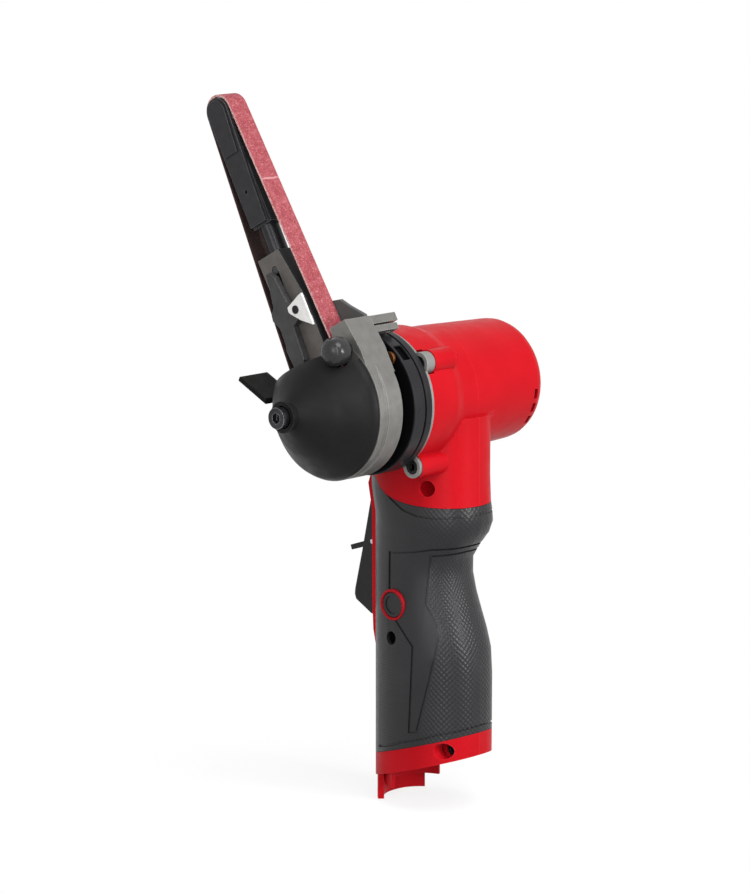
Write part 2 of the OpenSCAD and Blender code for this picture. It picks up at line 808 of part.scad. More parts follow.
function gear_points(teeth, tip, root, thinning) =
  let (pitch_r = gear_module * teeth / 2, base_r = pitch_r * cos(pressure_angle))
  let (tip_radius = pitch_r + tip * gear_module, root_radius = pitch_r - root * gear_module)
  let (low = max(base_r, root_radius))
  let (radii = [low, mix(low, tip_radius, 0.35), mix(low, tip_radius, 0.7), tip_radius])
  [for (i = [0:teeth - 1]) let (mid = 360 * i / teeth) each concat(
    [polar(root_radius, mid - tooth_half(low, teeth, thinning) - 1)],
    [for (r = radii) polar(r, mid - tooth_half(r, teeth, thinning))],
    [for (k = [3:-1:0]) polar(radii[k], mid + tooth_half(radii[k], teeth, thinning))],
    [polar(root_radius, mid + tooth_half(low, teeth, thinning) + 1)])];

planet_orbit = gear_module * (sun_teeth + planet_teeth) / 2;
planet_pin_r = 1.5;
carrier_r = 14.4;
sun_stub = 0.4;

module sun_gear() {
  color(steel) on_axis(gear_x - sun_stub) linear_extrude(height = planet_width + sun_stub) difference() {
    polygon(gear_points(sun_teeth, tooth_tip, tooth_root, tooth_backlash));
    circle(r = rotor_shaft_r);
  }
}

module planet(index) {
  color(steel) on_axis(gear_x) rotate(index * 120) translate([planet_orbit, 0, 0])
    rotate(180 / planet_teeth - index * 120) linear_extrude(height = planet_width) difference() {
      polygon(gear_points(planet_teeth, tooth_tip, tooth_root, tooth_backlash));
      circle(r = planet_pin_r + running);
    }
}
module planet_1() { planet(0); }
module planet_2() { planet(1); }
module planet_3() { planet(2); }

module planet_pins() {
  color(steel) on_axis(gear_x) for (i = [0:2]) rotate(i * 120) translate([planet_orbit, 0, 0])
    cylinder(h = carrier_x + carrier_w - gear_x, r = planet_pin_r);
}

module ring_gear() {
  color(steel) on_axis(gear_x - 0.6) linear_extrude(height = planet_width + 1) difference() {
    circle(r = case_cavity_r - seat);
    rotate(180 / ring_teeth)
      polygon(gear_points(ring_teeth, tooth_root + 0.1, tooth_tip, -tooth_backlash));
  }
}

module carrier_spindle() {
  screw_depth = 14;
  color(steel) difference() {
    union() {
      on_axis(carrier_x) cylinder(h = carrier_w, r = carrier_r);
      on_axis(carrier_x) cylinder(h = spindle_end_x - carrier_x, r = spindle_r);
    }
    on_axis(carrier_x - through) for (i = [0:2]) rotate(i * 120) translate([planet_orbit, 0, 0])
      cylinder(h = carrier_w + 2 * through, r = planet_pin_r);
    on_axis(spindle_end_x - screw_depth) cylinder(h = screw_depth + through, r = wheel_screw_r);
  }
}

module spindle_bearing() {
  color(steel) tube_on_axis(spindle_bearing_x, spindle_bearing_x + spindle_bearing_w,
    spindle_bearing_r, spindle_r + running);
}

module gear_case() {
  case_r = barrel_bore_r - seat;
  nose_passage_r = spindle_bearing_r - 1.5;
  back_bore_r = rotor_shaft_r + 1.5;
  rear_seat_r = motor_bearing_r + running / 2;
  front_seat_r = spindle_bearing_r + running / 2;
  step_r = motor_bearing_r - 1;
  back_x = barrel_front_x + seat;
  color(cast_grey) difference() {
    union() {
      on_axis() rotate_extrude() polygon([
        [back_bore_r, case_back_x], [case_r, case_back_x], [case_r, back_x], [flange_r, back_x],
        [flange_r, flange_front_x], [nose_r, flange_front_x], [nose_r, nose_end_x],
        [front_seat_r, nose_end_x], [front_seat_r, spindle_bearing_x],
        [nose_passage_r, spindle_bearing_x], [nose_passage_r, case_cavity_x],
        [case_cavity_r, case_cavity_x], [case_cavity_r, gear_x - 0.7], [step_r, gear_x - 0.7],
        [step_r, front_bearing_x + motor_bearing_w], [rear_seat_r, front_bearing_x + motor_bearing_w],
        [rear_seat_r, front_bearing_x], [back_bore_r, front_bearing_x]
      ]);
      translate([0, 0, axis_z]) prism_x(back_x + 0.2, flange_front_x - 0.2) difference() {
        lug_outline(lug_r);
        circle(r = case_r);
      }
      for (i = [0:3])
        rod_x(lug_backs[i], flange_front_x - 0.4, lug_r - 0.1, lug_sites[i][0], axis_z + lug_sites[i][1]);
    }
    for (site = lug_sites) {
      rod_x(case_screw_tail - 0.5, flange_front_x + through, case_screw_r + seat, site[0], axis_z + site[1]);
      rod_x(case_screw_x, flange_front_x + through, case_head_r + seat, site[0], axis_z + site[1]);
    }
    rod_x(flange_front_x - 1.3, flange_front_x + through, ring_screw_r, ring_screw_site[0],
      axis_z + ring_screw_site[1]);
  }
}

module gear_case_screws() {
  color(black) for (site = lug_sites) difference() {
    union() {
      rod_x(case_screw_tail, case_screw_x, case_screw_r - running, site[0], axis_z + site[1]);
      rod_x(case_screw_x, case_screw_x + case_head_h, case_head_r, site[0], axis_z + site[1]);
    }
    rod_x(case_screw_x + 0.6, case_screw_x + case_head_h + through, 1.5, site[0], axis_z + site[1]);
  }
}

module index_ring() {
  groove_w = 1;
  groove_d = 0.8;
  notch_w = 7.5;
  notch_d = 1.9;
  notch_angle = 41;
  color(black) difference() {
    tube_on_axis(ring_x, ring_front_x, ring_r, nose_r + seat);
    tube_on_axis(ring_x + 3.2, ring_x + 3.2 + groove_w, ring_r + through, ring_r - groove_d);
    translate([ring_x + 4.6, 0, axis_z]) rotate([-notch_angle, 0, 0])
      box(0, 4.4, -notch_w / 2, notch_w / 2, ring_r - notch_d, ring_r + 2);
    rod_x(ring_x - through, ring_front_x + through, ring_screw_r + seat, ring_screw_site[0],
      axis_z + ring_screw_site[1]);
  }
}

module ring_screw() {
  head_r = 2.7;
  head_h = 1.5;
  y = ring_screw_site[0];
  z = axis_z + ring_screw_site[1];
  color(brass) {
    rod_x(flange_front_x - 1.1, ring_front_x, ring_screw_r - running, y, z);
    rod_x(ring_front_x, ring_front_x + head_h, head_r, y, z);
  }
}

module head_retainer() {
  color(steel) tube_on_axis(retainer_x, retainer_x + retainer_w, retainer_r, nose_r + seat / 5);
}

// Head

module arm_screw_sites() {
  for (site = [[3.9, 23.4], [8.5, 24]]) translate([0, site[0], site[1]]) children();
}

module shoulder_outline() {
  polygon([
    [shoulder_u, 14], [shoulder_u, shoulder_v], [shoulder_edge_u, shoulder_v],
    [cup_r - 0.8, 14], [cup_r - 0.8, 3], [cup_r - 2, 3]
  ]);
}

module head_frame() {
  hub_bore = nose_r + running;
  web_bore = retainer_r + clear;
  inner_r = cup_r - cup_wall;
  band = 0.7;
  color(cast_grey) difference() {
    union() {
      on_axis() rotate_extrude() polygon([
        [hub_bore, hub_x], [hub_r, hub_x], [hub_r, web_x], [cup_r - 1.5, web_x], [cup_r, web_x + 1.5],
        [cup_r, cup_front_x - 5], [cup_r - band, cup_front_x - 4.6], [cup_r - band, cup_front_x - 2.2],
        [cup_r, cup_front_x - 1.8], [cup_r, cup_front_x], [inner_r, cup_front_x], [inner_r, web_front_x],
        [web_bore, web_front_x], [web_bore, web_x], [hub_bore, web_x]
      ]);
      arm() {
        prism_x(web_x + 0.1, cup_front_x - 0.1) shoulder_outline();
        box(ear_x, web_x + 0.6, ear_high_u, shoulder_edge_u,
          ear_split_v + ear_slit, shoulder_v - 0.1);
        box(ear_x + 1, web_x + 0.8, ear_low_u, shoulder_edge_u - 0.1, ear_low_v, ear_split_v);
      }
    }
    arm() {
      box(web_front_x - 0.15, cup_front_x + through, -cup_r - 4, shoulder_u - 0.1, cover_cut_v - 2, 60);
      arm_screw_sites() rod_x(web_x - 6, web_front_x + through, arm_screw_r + seat, 0, 0);
      rod_x(cup_front_x - 6, cup_front_x + through, knob_stem_r + running, knob_u, knob_v);
      translate([clamp_x, clamp_u, 0]) cylinder(h = 60, r = clamp_r + seat);
    }
  }
}

module clamp_screw() {
  color(steel) arm() translate([clamp_x, clamp_u, ear_low_v + 0.3])
    cylinder(h = shoulder_v - ear_low_v - 0.9, r = clamp_r);
}

// Profile of the cover from its rim to its boss, moved inwards by inset
function cover_profile(inset) = [
  [cover_r - inset, cup_front_x + cover_rim_h],
  [cover_r - 0.9 - inset, cup_front_x + cover_rim_h + 1.7 - inset / 3],
  [cover_r - 3.2 - inset, cup_front_x + cover_rim_h + 3.8 - inset * 0.6],
  [cover_boss_r, cover_front_x - 3.5 - inset * 1.2]
];

module belt_cover() {
  knob_room = knob_r + 0.7;
  color(black) difference() {
    on_axis() rotate_extrude() polygon(concat(
      [[cover_r - cover_wall, cup_front_x + seat], [cover_r, cup_front_x + seat]],
      cover_profile(0),
      [[cover_boss_r, cover_front_x], [cover_bore_r, cover_front_x],
       [cover_bore_r, cover_front_x - 3.5 - cover_wall * 1.2]],
      [for (i = [3:-1:0]) cover_profile(cover_wall)[i]]));
    arm() box(cup_front_x - through, cover_front_x, -cup_r - 4, cup_r + 4, cover_cut_v, 60);
    arm() rod_x(cup_front_x - through, cover_front_x, knob_room, knob_u, knob_v);
  }
}

module tracking_knob() {
  stem_tail = 5;
  color(black) arm() translate([0, knob_u, knob_v]) rotate([0, 90, 0]) rotate_extrude() polygon([
    [0, cup_front_x - stem_tail], [knob_stem_r, cup_front_x - stem_tail], [knob_stem_r, knob_x],
    [knob_r * 0.8, knob_x], [knob_r * 0.96, knob_x + 0.1 * knob_h], [knob_r, knob_x + 0.3 * knob_h],
    [knob_r, knob_x + 0.5 * knob_h], [knob_r * 0.95, knob_x + 0.68 * knob_h],
    [knob_r * 0.8, knob_x + 0.84 * knob_h], [knob_r * 0.5, knob_x + 0.95 * knob_h], [0, knob_x + knob_h]
  ]);
}

module front_guard() {
  guard_x0 = 50;
  guard_x1 = 66;
  color(black) difference() {
    arm() prism_x(guard_x0, guard_x1)
      polygon([[-22.6, 12], [-34.2, 28.6], [-35.8, 27.4], [-24.4, 10.8]]);
    on_axis() cylinder(h = 2 * guard_x1, r = cup_r + seat / 5);
  }
}

module rear_guard() {
  guard_x = web_x + 0.2;
  low = shoulder_v + 0.05;
  color(black) arm() prism_x(guard_x, guard_x + guard_t)
    polygon([
      [9.5, low + 1.6], [9.5, low + 13.2], [16, low + 11.4], [19.2, low + 7.4], [25.4, low + 1], [25.4, low],
      [11, low]
    ]);
}

module drive_wheel() {
  color(steel) tube_on_axis(wheel_x, wheel_x + wheel_w, wheel_r - 2.4, spindle_r);
}

module wheel_tyre() {
  color(black) tube_on_axis(wheel_x, wheel_x + wheel_w, wheel_r, wheel_r - 2.4);
}

module wheel_spacer() {
  color(steel) tube_on_axis(spindle_end_x, cover_front_x - 0.6, cover_bore_r - 0.4, wheel_screw_r);
}

module wheel_screw() {
  head_h = 4;
  hex_r = 2.3;
  color(steel) on_axis(cover_front_x - 0.6) difference() {
    union() {
      cylinder(h = head_h, r = cover_bore_r - 0.4);
      translate([0, 0, spindle_end_x - 12 - cover_front_x])
        cylinder(h = cover_front_x - spindle_end_x + 12, r = wheel_screw_r);
    }
    translate([0, 0, head_h - 2.4]) cylinder(h = 4, r = hex_r, $fn = 6);
  }
}

// Arm

module fork_outline() {
  polygon([
    [-8.3, fork_top_v], [4.6, fork_top_v], [9.4, 44], [9.9, 19], [8.6, 15.4], [-4, 15.4],
    [-5.4, 22], [-5.4, 40], [-7.6, 50]
  ]);
}

module arm_fork() {
  slot_w = slide_pin_r + 0.25;
  fork_wheel_room = wheel_r + clear + 0.4;
  color(cast_grey) difference() {
    arm() prism_x(fork_x0, fork_x1) fork_outline();
    on_axis(fork_x0 - through) cylinder(h = fork_x1 - fork_x0 + 2 * through, r = fork_wheel_room);
    arm() {
      translate([belt_x, rod_u, fork_bore_v]) cylinder(h = fork_top_v, r = rod_r + running);
      for (v = [slide_pin_v, slide_pin_v - tip_travel - 0.2])
        rod_x(belt_x, fork_x1 + through, slot_w, slide_pin_u, v);
      box(belt_x, fork_x1 + through, slide_pin_u - slot_w + 0.02, slide_pin_u + slot_w - 0.02,
        slide_pin_v - tip_travel, slide_pin_v);
      rod_x(fork_x0 + 2, fork_x1 + through, pivot_r, pivot_u, pivot_v);
      arm_screw_sites() rod_x(fork_x0 - through, fork_x0 + 7, arm_screw_r, 0, 0);
    }
  }
}

module arm_screws() {
  head_r = 2.1;
  head_h = 2;
  color(black) arm() arm_screw_sites() {
    rod_x(web_x, fork_x0 + 6, arm_screw_r - running, 0, 0);
    rod_x(web_x - head_h, web_x, head_r, 0, 0);
  }
}

module slide_rod() {
  color(black) arm() difference() {
    translate([belt_x, rod_u, rod_end_v]) cylinder(h = holder_v + 12 - rod_end_v, r = rod_r);
    translate([belt_x, rod_u, rod_end_v - through])
      cylinder(h = rod_bore_top_v - rod_end_v + through, r = rod_bore_r);
    rod_x(belt_x, belt_x + 2 * rod_r, slide_pin_r, slide_pin_u, slide_pin_v);
  }
}

module slide_pin() {
  color(steel) arm() rod_x(belt_x + rod_bore_r + 0.2, fork_x1 - 0.3, slide_pin_r - running,
    slide_pin_u, slide_pin_v);
}

module tension_spring() {
  coil_wall = 0.7;
  color(steel) arm() translate([belt_x, rod_u, fork_bore_v]) difference() {
    cylinder(h = rod_bore_top_v - tip_travel - 1 - fork_bore_v, r = spring_r);
    translate([0, 0, -through]) cylinder(h = 60, r = spring_r - coil_wall);
  }
}

module tip_holder() {
  holder_h = belt_reach - tip_r - 1 - holder_v;
  cheek_r = tip_r - 0.2;
  x0 = belt_x - holder_w / 2;
  x1 = belt_x + holder_w / 2;
  color(black) arm() difference() {
    union() {
      prism_x(x0, x1) polygon([
        [-5.2, holder_v], [5.6, holder_v], [4.6, holder_v + holder_h], [-4.6, holder_v + holder_h]
      ]);
      for (x = [x0 - cheek_t, x1]) {
        prism_x(x, x + cheek_t)
          polygon([[-5.2, holder_v + 1], [4, holder_v + 1], [cheek_r, belt_reach], [-cheek_r, belt_reach]]);
        rod_x(x, x + cheek_t, cheek_r, 0, belt_reach);
      }
    }
    translate([belt_x, rod_u, holder_v - through]) cylinder(h = 13 + through, r = rod_r + running / 2);
    rod_x(x0 - 2 * cheek_t, x1 + 2 * cheek_t, roller_bore_r, 0, belt_reach);
    rod_x(x1 - 1, x1 + 2 * cheek_t, 0.9, -0.7, holder_v + 15.1);
  }
}

module tip_cover() {
  cover_x = belt_x + holder_w / 2 + cheek_t;
  color(black) arm() {
    prism_x(cover_x, cover_x + 0.7)
      polygon([[-4.6, tip_cover_v], [3.2, tip_cover_v], [4.8, belt_reach], [-4.8, belt_reach]]);
    rod_x(cover_x, cover_x + 0.7, 4.8, 0, belt_reach);
  }
}

module tip_roller() {
  color(steel) arm() difference() {
    rod_x(belt_x - roller_w / 2, belt_x + roller_w / 2, tip_r, 0, belt_reach);
    rod_x(belt_x - belt_width, belt_x + belt_width, roller_bore_r + running, 0, belt_reach);
  }
}

module roller_pin() {
  pin_half = holder_w / 2 + cheek_t;
  color(steel) arm() rod_x(belt_x - pin_half, belt_x + pin_half, roller_bore_r, 0, belt_reach);
}

module lever_outline() {
  polygon([
    [-3.8, 60], [-1.8, 60], [0.2, 57.4], [1, 51.5], [2, 45.5], [7.2, 43.8], [8.8, 41.4], [8.2, 38.4],
    [4, 37], [0.6, 35.6], [0.3, 30], [-0.3, 21.6], [-2.6, 19.2], [-7, 19.4], [-7.9, 28.2], [-7.1, 31],
    [-6.9, 37.8], [-9.1, 41.8], [-8.7, 44.4], [-6.3, 46.5], [-4.6, 53.7]
  ]);
}

module tension_lever() {
  color(black) arm() difference() {
    prism_x(lever_x, lever_x + lever_thickness) lever_outline();
    rod_x(lever_x - through, lever_x + lever_thickness + through, pivot_r + running, pivot_u, pivot_v);
  }
}

module lever_pin() {
  color(steel) arm() rod_x(fork_x0 + 2.2, plate_x0 + plate_t + 0.3, pivot_r, pivot_u, pivot_v);
}

module link_plate() {
  color(steel) arm() difference() {
    union() {
      prism_x(plate_x0, plate_x0 + plate_t)
        polygon([[12.4, 45.6], [10.6, 45.4], [2.6, 43.2], [2.2, 41.4], [3, 40.2], [7, 36], [12.6, 31.8]]);
      prism_x(fork_x1 + seat, plate_x0 + 0.5) polygon([[7.6, 35.4], [9.3, 34], [9.3, 36.8], [7.6, 36.8]]);
    }
    rod_x(plate_x0 - through, plate_x0 + plate_t + through, pivot_r, pivot_u, pivot_v);
  }
}

// Belt: straight runs tangent to the wheel and the tip
module belt_outline(big, small) {
  lean = asin((big - small) / belt_reach);
  steps = 24;
  polygon(concat(
    [for (i = [0:steps]) polar(small, mix(lean, 180 - lean, i / steps)) + [0, belt_reach]],
    [for (i = [0:2 * steps]) polar(big, mix(180 - lean, 360 + lean, i / (2 * steps)))]));
}

module belt() {
  color(belt_red) arm() prism_x(belt_x - belt_width / 2, belt_x + belt_width / 2) difference() {
    belt_outline(wheel_out, tip_out);
    belt_outline(wheel_in, tip_in);
  }
}

housing_right();
housing_left();
grip_right();
grip_left();
housing_screws();
mode_bezel();
mode_button();
button_switch();
trigger_paddle();
trigger_pin();
trigger_spring();
lock_tab();
lock_pin();
trigger_switch();
controller_board();
terminal_block();
contact_blades();
stator();
stator_windings();
rotor_core();
rotor_shaft();
cooling_fan();
rear_bearing();
front_bearing();
gear_case();
gear_case_screws();
ring_gear();
sun_gear();
planet_1();
planet_2();
planet_3();
planet_pins();
carrier_spindle();
spindle_bearing();
index_ring();
ring_screw();
head_retainer();
head_frame();
clamp_screw();
belt_cover();
tracking_knob();
front_guard();
rear_guard();
drive_wheel();
wheel_tyre();
wheel_spacer();
wheel_screw();
arm_fork();
arm_screws();
slide_rod();
slide_pin();
tension_spring();
tip_holder();
tip_cover();
tip_roller();
roller_pin();
tension_lever();
lever_pin();
link_plate();
belt();
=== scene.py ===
"""Looks of a compact cordless belt file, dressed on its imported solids.

Lengths are in metres, or in millimetres where a comment says so, in the part's own frame: +X along
the motor axis towards the belt head, +Y the palm side, +Z up the handle.
"""
import json
import math

import bmesh
import bpy
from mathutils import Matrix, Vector

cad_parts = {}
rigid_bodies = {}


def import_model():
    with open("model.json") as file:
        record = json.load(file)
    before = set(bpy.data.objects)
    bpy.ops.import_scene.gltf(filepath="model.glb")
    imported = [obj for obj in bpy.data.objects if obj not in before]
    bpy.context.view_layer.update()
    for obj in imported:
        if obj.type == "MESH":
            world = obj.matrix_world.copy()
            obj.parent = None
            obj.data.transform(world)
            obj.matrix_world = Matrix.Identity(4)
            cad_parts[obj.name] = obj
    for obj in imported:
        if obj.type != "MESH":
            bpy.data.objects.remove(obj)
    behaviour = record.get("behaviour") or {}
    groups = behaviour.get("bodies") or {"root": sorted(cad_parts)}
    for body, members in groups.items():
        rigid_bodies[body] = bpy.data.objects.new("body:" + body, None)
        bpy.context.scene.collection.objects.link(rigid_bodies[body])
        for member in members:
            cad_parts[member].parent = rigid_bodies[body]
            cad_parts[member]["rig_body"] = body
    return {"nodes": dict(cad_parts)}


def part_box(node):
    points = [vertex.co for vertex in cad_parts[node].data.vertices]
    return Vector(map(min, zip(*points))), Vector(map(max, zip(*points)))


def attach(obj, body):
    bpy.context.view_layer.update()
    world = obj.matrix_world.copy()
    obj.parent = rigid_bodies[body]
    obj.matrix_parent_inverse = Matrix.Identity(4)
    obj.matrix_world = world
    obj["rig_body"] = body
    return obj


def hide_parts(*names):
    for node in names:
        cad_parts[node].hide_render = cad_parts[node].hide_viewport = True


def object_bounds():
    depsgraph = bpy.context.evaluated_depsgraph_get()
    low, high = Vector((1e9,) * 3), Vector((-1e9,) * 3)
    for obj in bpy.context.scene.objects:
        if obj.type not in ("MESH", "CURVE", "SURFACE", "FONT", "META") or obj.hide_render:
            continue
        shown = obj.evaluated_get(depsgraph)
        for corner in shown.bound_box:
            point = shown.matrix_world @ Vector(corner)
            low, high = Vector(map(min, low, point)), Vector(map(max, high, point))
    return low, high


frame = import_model()
cad_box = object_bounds()
nodes = frame["nodes"]
scene = bpy.context.scene

MM = 0.001
MOTOR_AXIS_Z = 158 * MM
ARM_TILT = math.radians(28.6)
ACROSS_ARM = Vector((0, math.cos(ARM_TILT), math.sin(ARM_TILT)))
ALONG_ARM = Vector((0, -math.sin(ARM_TILT), math.cos(ARM_TILT)))


# Camera

TARGET = Vector((0.032553, 0, 0.138966))
CAMERA_TURN = 43.023         # degrees
CAMERA_RISE = 10.788
CAMERA_DISTANCE = 1.470
FOCAL_PIXELS = 3638.04
IMAGE_WIDTH = 750
SENSOR_WIDTH = 36


def add_aimed(name, data, turn, rise, distance):
    """A camera or lamp that looks at the target from a direction in degrees."""
    turn, rise = math.radians(turn), math.radians(rise)
    flat = math.cos(rise)
    towards = Vector((math.cos(turn) * flat, math.sin(turn) * flat, math.sin(rise)))
    thing = bpy.data.objects.new(name, data)
    thing.location = TARGET + distance * towards
    thing.rotation_euler = (-towards).to_track_quat("-Z", "Y").to_euler()
    scene.collection.objects.link(thing)
    return thing


def add_camera():
    data = bpy.data.cameras.new("camera")
    data.sensor_fit = "HORIZONTAL"
    data.sensor_width = SENSOR_WIDTH
    data.lens = FOCAL_PIXELS / IMAGE_WIDTH * SENSOR_WIDTH
    scene.camera = add_aimed("camera", data, CAMERA_TURN, CAMERA_RISE, CAMERA_DISTANCE)


# Node trees

WHITE = (1, 1, 1, 1)
NOISE_SPAN = (0.3, 0.7)        # noise seldom leaves this range
RANGE_SOCKETS = ("From Min", "From Max", "To Min", "To Max")
EDGE_SAMPLES = 6
EDGE_PATCH = 1.6 * MM          # size of the patches in which an edge's wear and painted highlight are more or less
EDGE_PATCH_WEAR_AND_HIGHLIGHT = (0.3, 1.3)   # least and most wear and painted highlight in such a patch
EDGE_TURN = (0.02, 0.2)        # turn of the normal where an edge's wear and painted highlight start and where they are full


def srgb(red, green, blue):
    """Screen values from 0 to 255 as the linear colour that shaders take."""
    def linear(value):
        value /= 255
        return value / 12.92 if value <= 0.04045 else ((value + 0.055) / 1.055) ** 2.4
    return (linear(red), linear(green), linear(blue), 1.0)


class Nodes:
    """Short ways to add nodes to a tree and to join them."""

    def __init__(self, tree):
        self.tree = tree

    def add(self, kind, **settings):
        node = self.tree.nodes.new(kind)
        for key, value in settings.items():
            setattr(node, key, value)
        return node

    def feed(self, socket, value):
        if isinstance(value, bpy.types.NodeSocket):
            self.tree.links.new(value, socket)
        else:
            socket.default_value = value

    def math(self, operation, *values):
        node = self.add("ShaderNodeMath", operation=operation)
        for socket, value in zip(node.inputs, values):
            self.feed(socket, value)
        return node.outputs[0]

    def plus(self, a, b):
        return self.math("ADD", a, b)

    def minus(self, a, b):
        return self.math("SUBTRACT", a, b)

    def times(self, a, b):
        return self.math("MULTIPLY", a, b)

    def hypot(self, a, b):
        return self.math("SQRT", self.plus(self.math("POWER", a, 2.0), self.math("POWER", b, 2.0)))

    def dot(self, a, b):
        node = self.add("ShaderNodeVectorMath", operation="DOT_PRODUCT")
        self.feed(node.inputs[0], a)
        self.feed(node.inputs[1], b)
        return node.outputs["Value"]

    def spread(self, value, low, high, source=NOISE_SPAN, soft=False):
        """The source range stretched or turned to run from low to high."""
        node = self.add("ShaderNodeMapRange")
        node.interpolation_type = "SMOOTHSTEP" if soft else "LINEAR"
        for name, number in zip(RANGE_SOCKETS, (*source, low, high)):
            node.inputs[name].default_value = number
        self.feed(node.inputs["Value"], value)
        return node.outputs["Result"]

    def white_rays(self):
        """1 for the rays that see the white background: from the camera, through glass, in mirrors."""
        rays = self.add("ShaderNodeLightPath").outputs
        seen = self.math("MAXIMUM", rays["Is Camera Ray"], rays["Is Transmission Ray"])
        return self.math("MAXIMUM", seen, rays["Is Glossy Ray"])

    def blend(self, share, shader, other, output):
        """Sends two shaders to the tree's output, the second one at a share."""
        mixer = self.add("ShaderNodeMixShader")
        for socket, value in zip(mixer.inputs, (share, shader.outputs[0], other.outputs[0])):
            self.feed(socket, value)
        self.feed(self.tree.nodes[output].inputs["Surface"], mixer.outputs[0])


class Surface(Nodes):
    """A node material round one Principled shader, fed from the piece's own coordinates."""

    def __init__(self, name, roughness=0.5, metallic=0.0, specular=0.5):
        self.material = bpy.data.materials.new(name)
        self.material.use_nodes = True
        super().__init__(self.material.node_tree)
        self.shader = self.tree.nodes["Principled BSDF"]
        self.roughness(roughness)
        self.specular(specular)
        self.feed(self.shader.inputs["Metallic"], metallic)
        self.place = self.add("ShaderNodeTexCoord").outputs["Object"]

    def axes(self):
        node = self.add("ShaderNodeSeparateXYZ")
        self.feed(node.inputs[0], self.place)
        return node.outputs["X"], node.outputs["Y"], node.outputs["Z"]

    def noise(self, size, detail=2.0, stretch=(1, 1, 1), contrast=0.5):
        """Noise with grains about size metres across, longer along a stretched axis."""
        mapping = self.add("ShaderNodeMapping")
        mapping.inputs["Scale"].default_value = [1 / s for s in stretch]
        self.feed(mapping.inputs["Vector"], self.place)
        node = self.add("ShaderNodeTexNoise")
        node.inputs["Scale"].default_value = 1 / size
        node.inputs["Detail"].default_value = detail
        node.inputs["Roughness"].default_value = contrast
        self.feed(node.inputs["Vector"], mapping.outputs["Vector"])
        return node.outputs["Fac"]

    def ramp(self, value, stops):
        """Colours at places from 0 to 1."""
        node = self.add("ShaderNodeValToRGB")
        elements = node.color_ramp.elements
        while len(elements) < len(stops):
            elements.new(1.0)
        for element, (place, colour) in zip(elements, stops):
            element.position = place
            element.color = colour
        self.feed(node.inputs["Fac"], value)
        return node.outputs["Color"]

    def clouds(self, size, dark, light, detail=3):
        """Two colours that drift into each other in patches about size metres across."""
        return self.ramp(self.noise(size, detail=detail), list(zip(NOISE_SPAN, (dark, light))))

    def mix(self, factor, a, b):
        node = self.add("ShaderNodeMix", data_type="RGBA")
        sockets = {s.identifier: s for s in node.inputs}
        for name, value in (("Factor_Float", factor), ("A_Color", a), ("B_Color", b)):
            self.feed(sockets[name], value)
        return next(s for s in node.outputs if s.identifier == "Result_Color")

    def wear_and_edge_highlight(self, tint, edge, radius, share):
        """The tint with another colour along convex and concave edges, with a broken border: partly
        rub wear, partly a painted edge highlight.
        """
        bevel = self.add("ShaderNodeBevel", samples=EDGE_SAMPLES)
        bevel.inputs["Radius"].default_value = radius
        normal = self.add("ShaderNodeNewGeometry").outputs["Normal"]
        turned = self.minus(1.0, self.dot(bevel.outputs["Normal"], normal))
        broken = self.times(turned, self.spread(self.noise(EDGE_PATCH), *EDGE_PATCH_WEAR_AND_HIGHLIGHT))
        wear_and_highlight = self.spread(broken, 0.0, 1.0, source=EDGE_TURN)
        return self.mix(self.times(wear_and_highlight, share), tint, edge)

    def colour(self, value):
        self.feed(self.shader.inputs["Base Color"], value)

    def roughness(self, value):
        self.feed(self.shader.inputs["Roughness"], value)

    def specular(self, value):
        self.feed(self.shader.inputs["Specular IOR Level"], value)

    def relief(self, height, depth):
        """Height from 0 to 1 as a bump that is depth metres deep."""
        node = self.add("ShaderNodeBump")
        node.inputs["Strength"].default_value = 1.0
        node.inputs["Distance"].default_value = depth
        self.feed(node.inputs["Height"], height)
        self.feed(self.shader.inputs["Normal"], node.outputs["Normal"])


def off_axis(surface):
    """Distance from the motor axis."""
    _, y, z = surface.axes()
    return surface.hypot(y, surface.minus(z, MOTOR_AXIS_Z))


def arm_place(surface):
    """Distances from the motor axis across the tilted arm and along it."""
    _, y, z = surface.axes()
    z = surface.minus(z, MOTOR_AXIS_Z)
    cos, sin = math.cos(ARM_TILT), math.sin(ARM_TILT)
    across = surface.plus(surface.times(y, cos), surface.times(z, sin))
    along = surface.minus(surface.times(z, cos), surface.times(y, sin))
    return across, along


# Plain plastics and metals

EVEN = (1, 1, 1)
PLASTIC_CLOUD = 14 * MM        # size of the patches of colour
PLASTIC_EDGE = 0.5 * MM        # reach of an edge's wear and painted highlight
PLASTIC_WEAR_AND_HIGHLIGHT = 0.5             # share of the rubbed colour at a worn edge
PLASTIC_PATCH = 5 * MM         # share of the lighter colour at an edge, partly rub wear and partly painted highlight
PLASTIC_GLOSS = (-0.06, 0.07)  # their roughness, off the mean
METAL_CLOUD = 4 * MM
# metal edges: reach and share of a lighter colour, partly rub wear and partly a painted highlight
METAL_EDGE = 0.4 * MM
METAL_WEAR_AND_HIGHLIGHT = 0.6
METAL_GLOSS = (-0.08, 0.1)
METAL_SPECULAR = 0.2

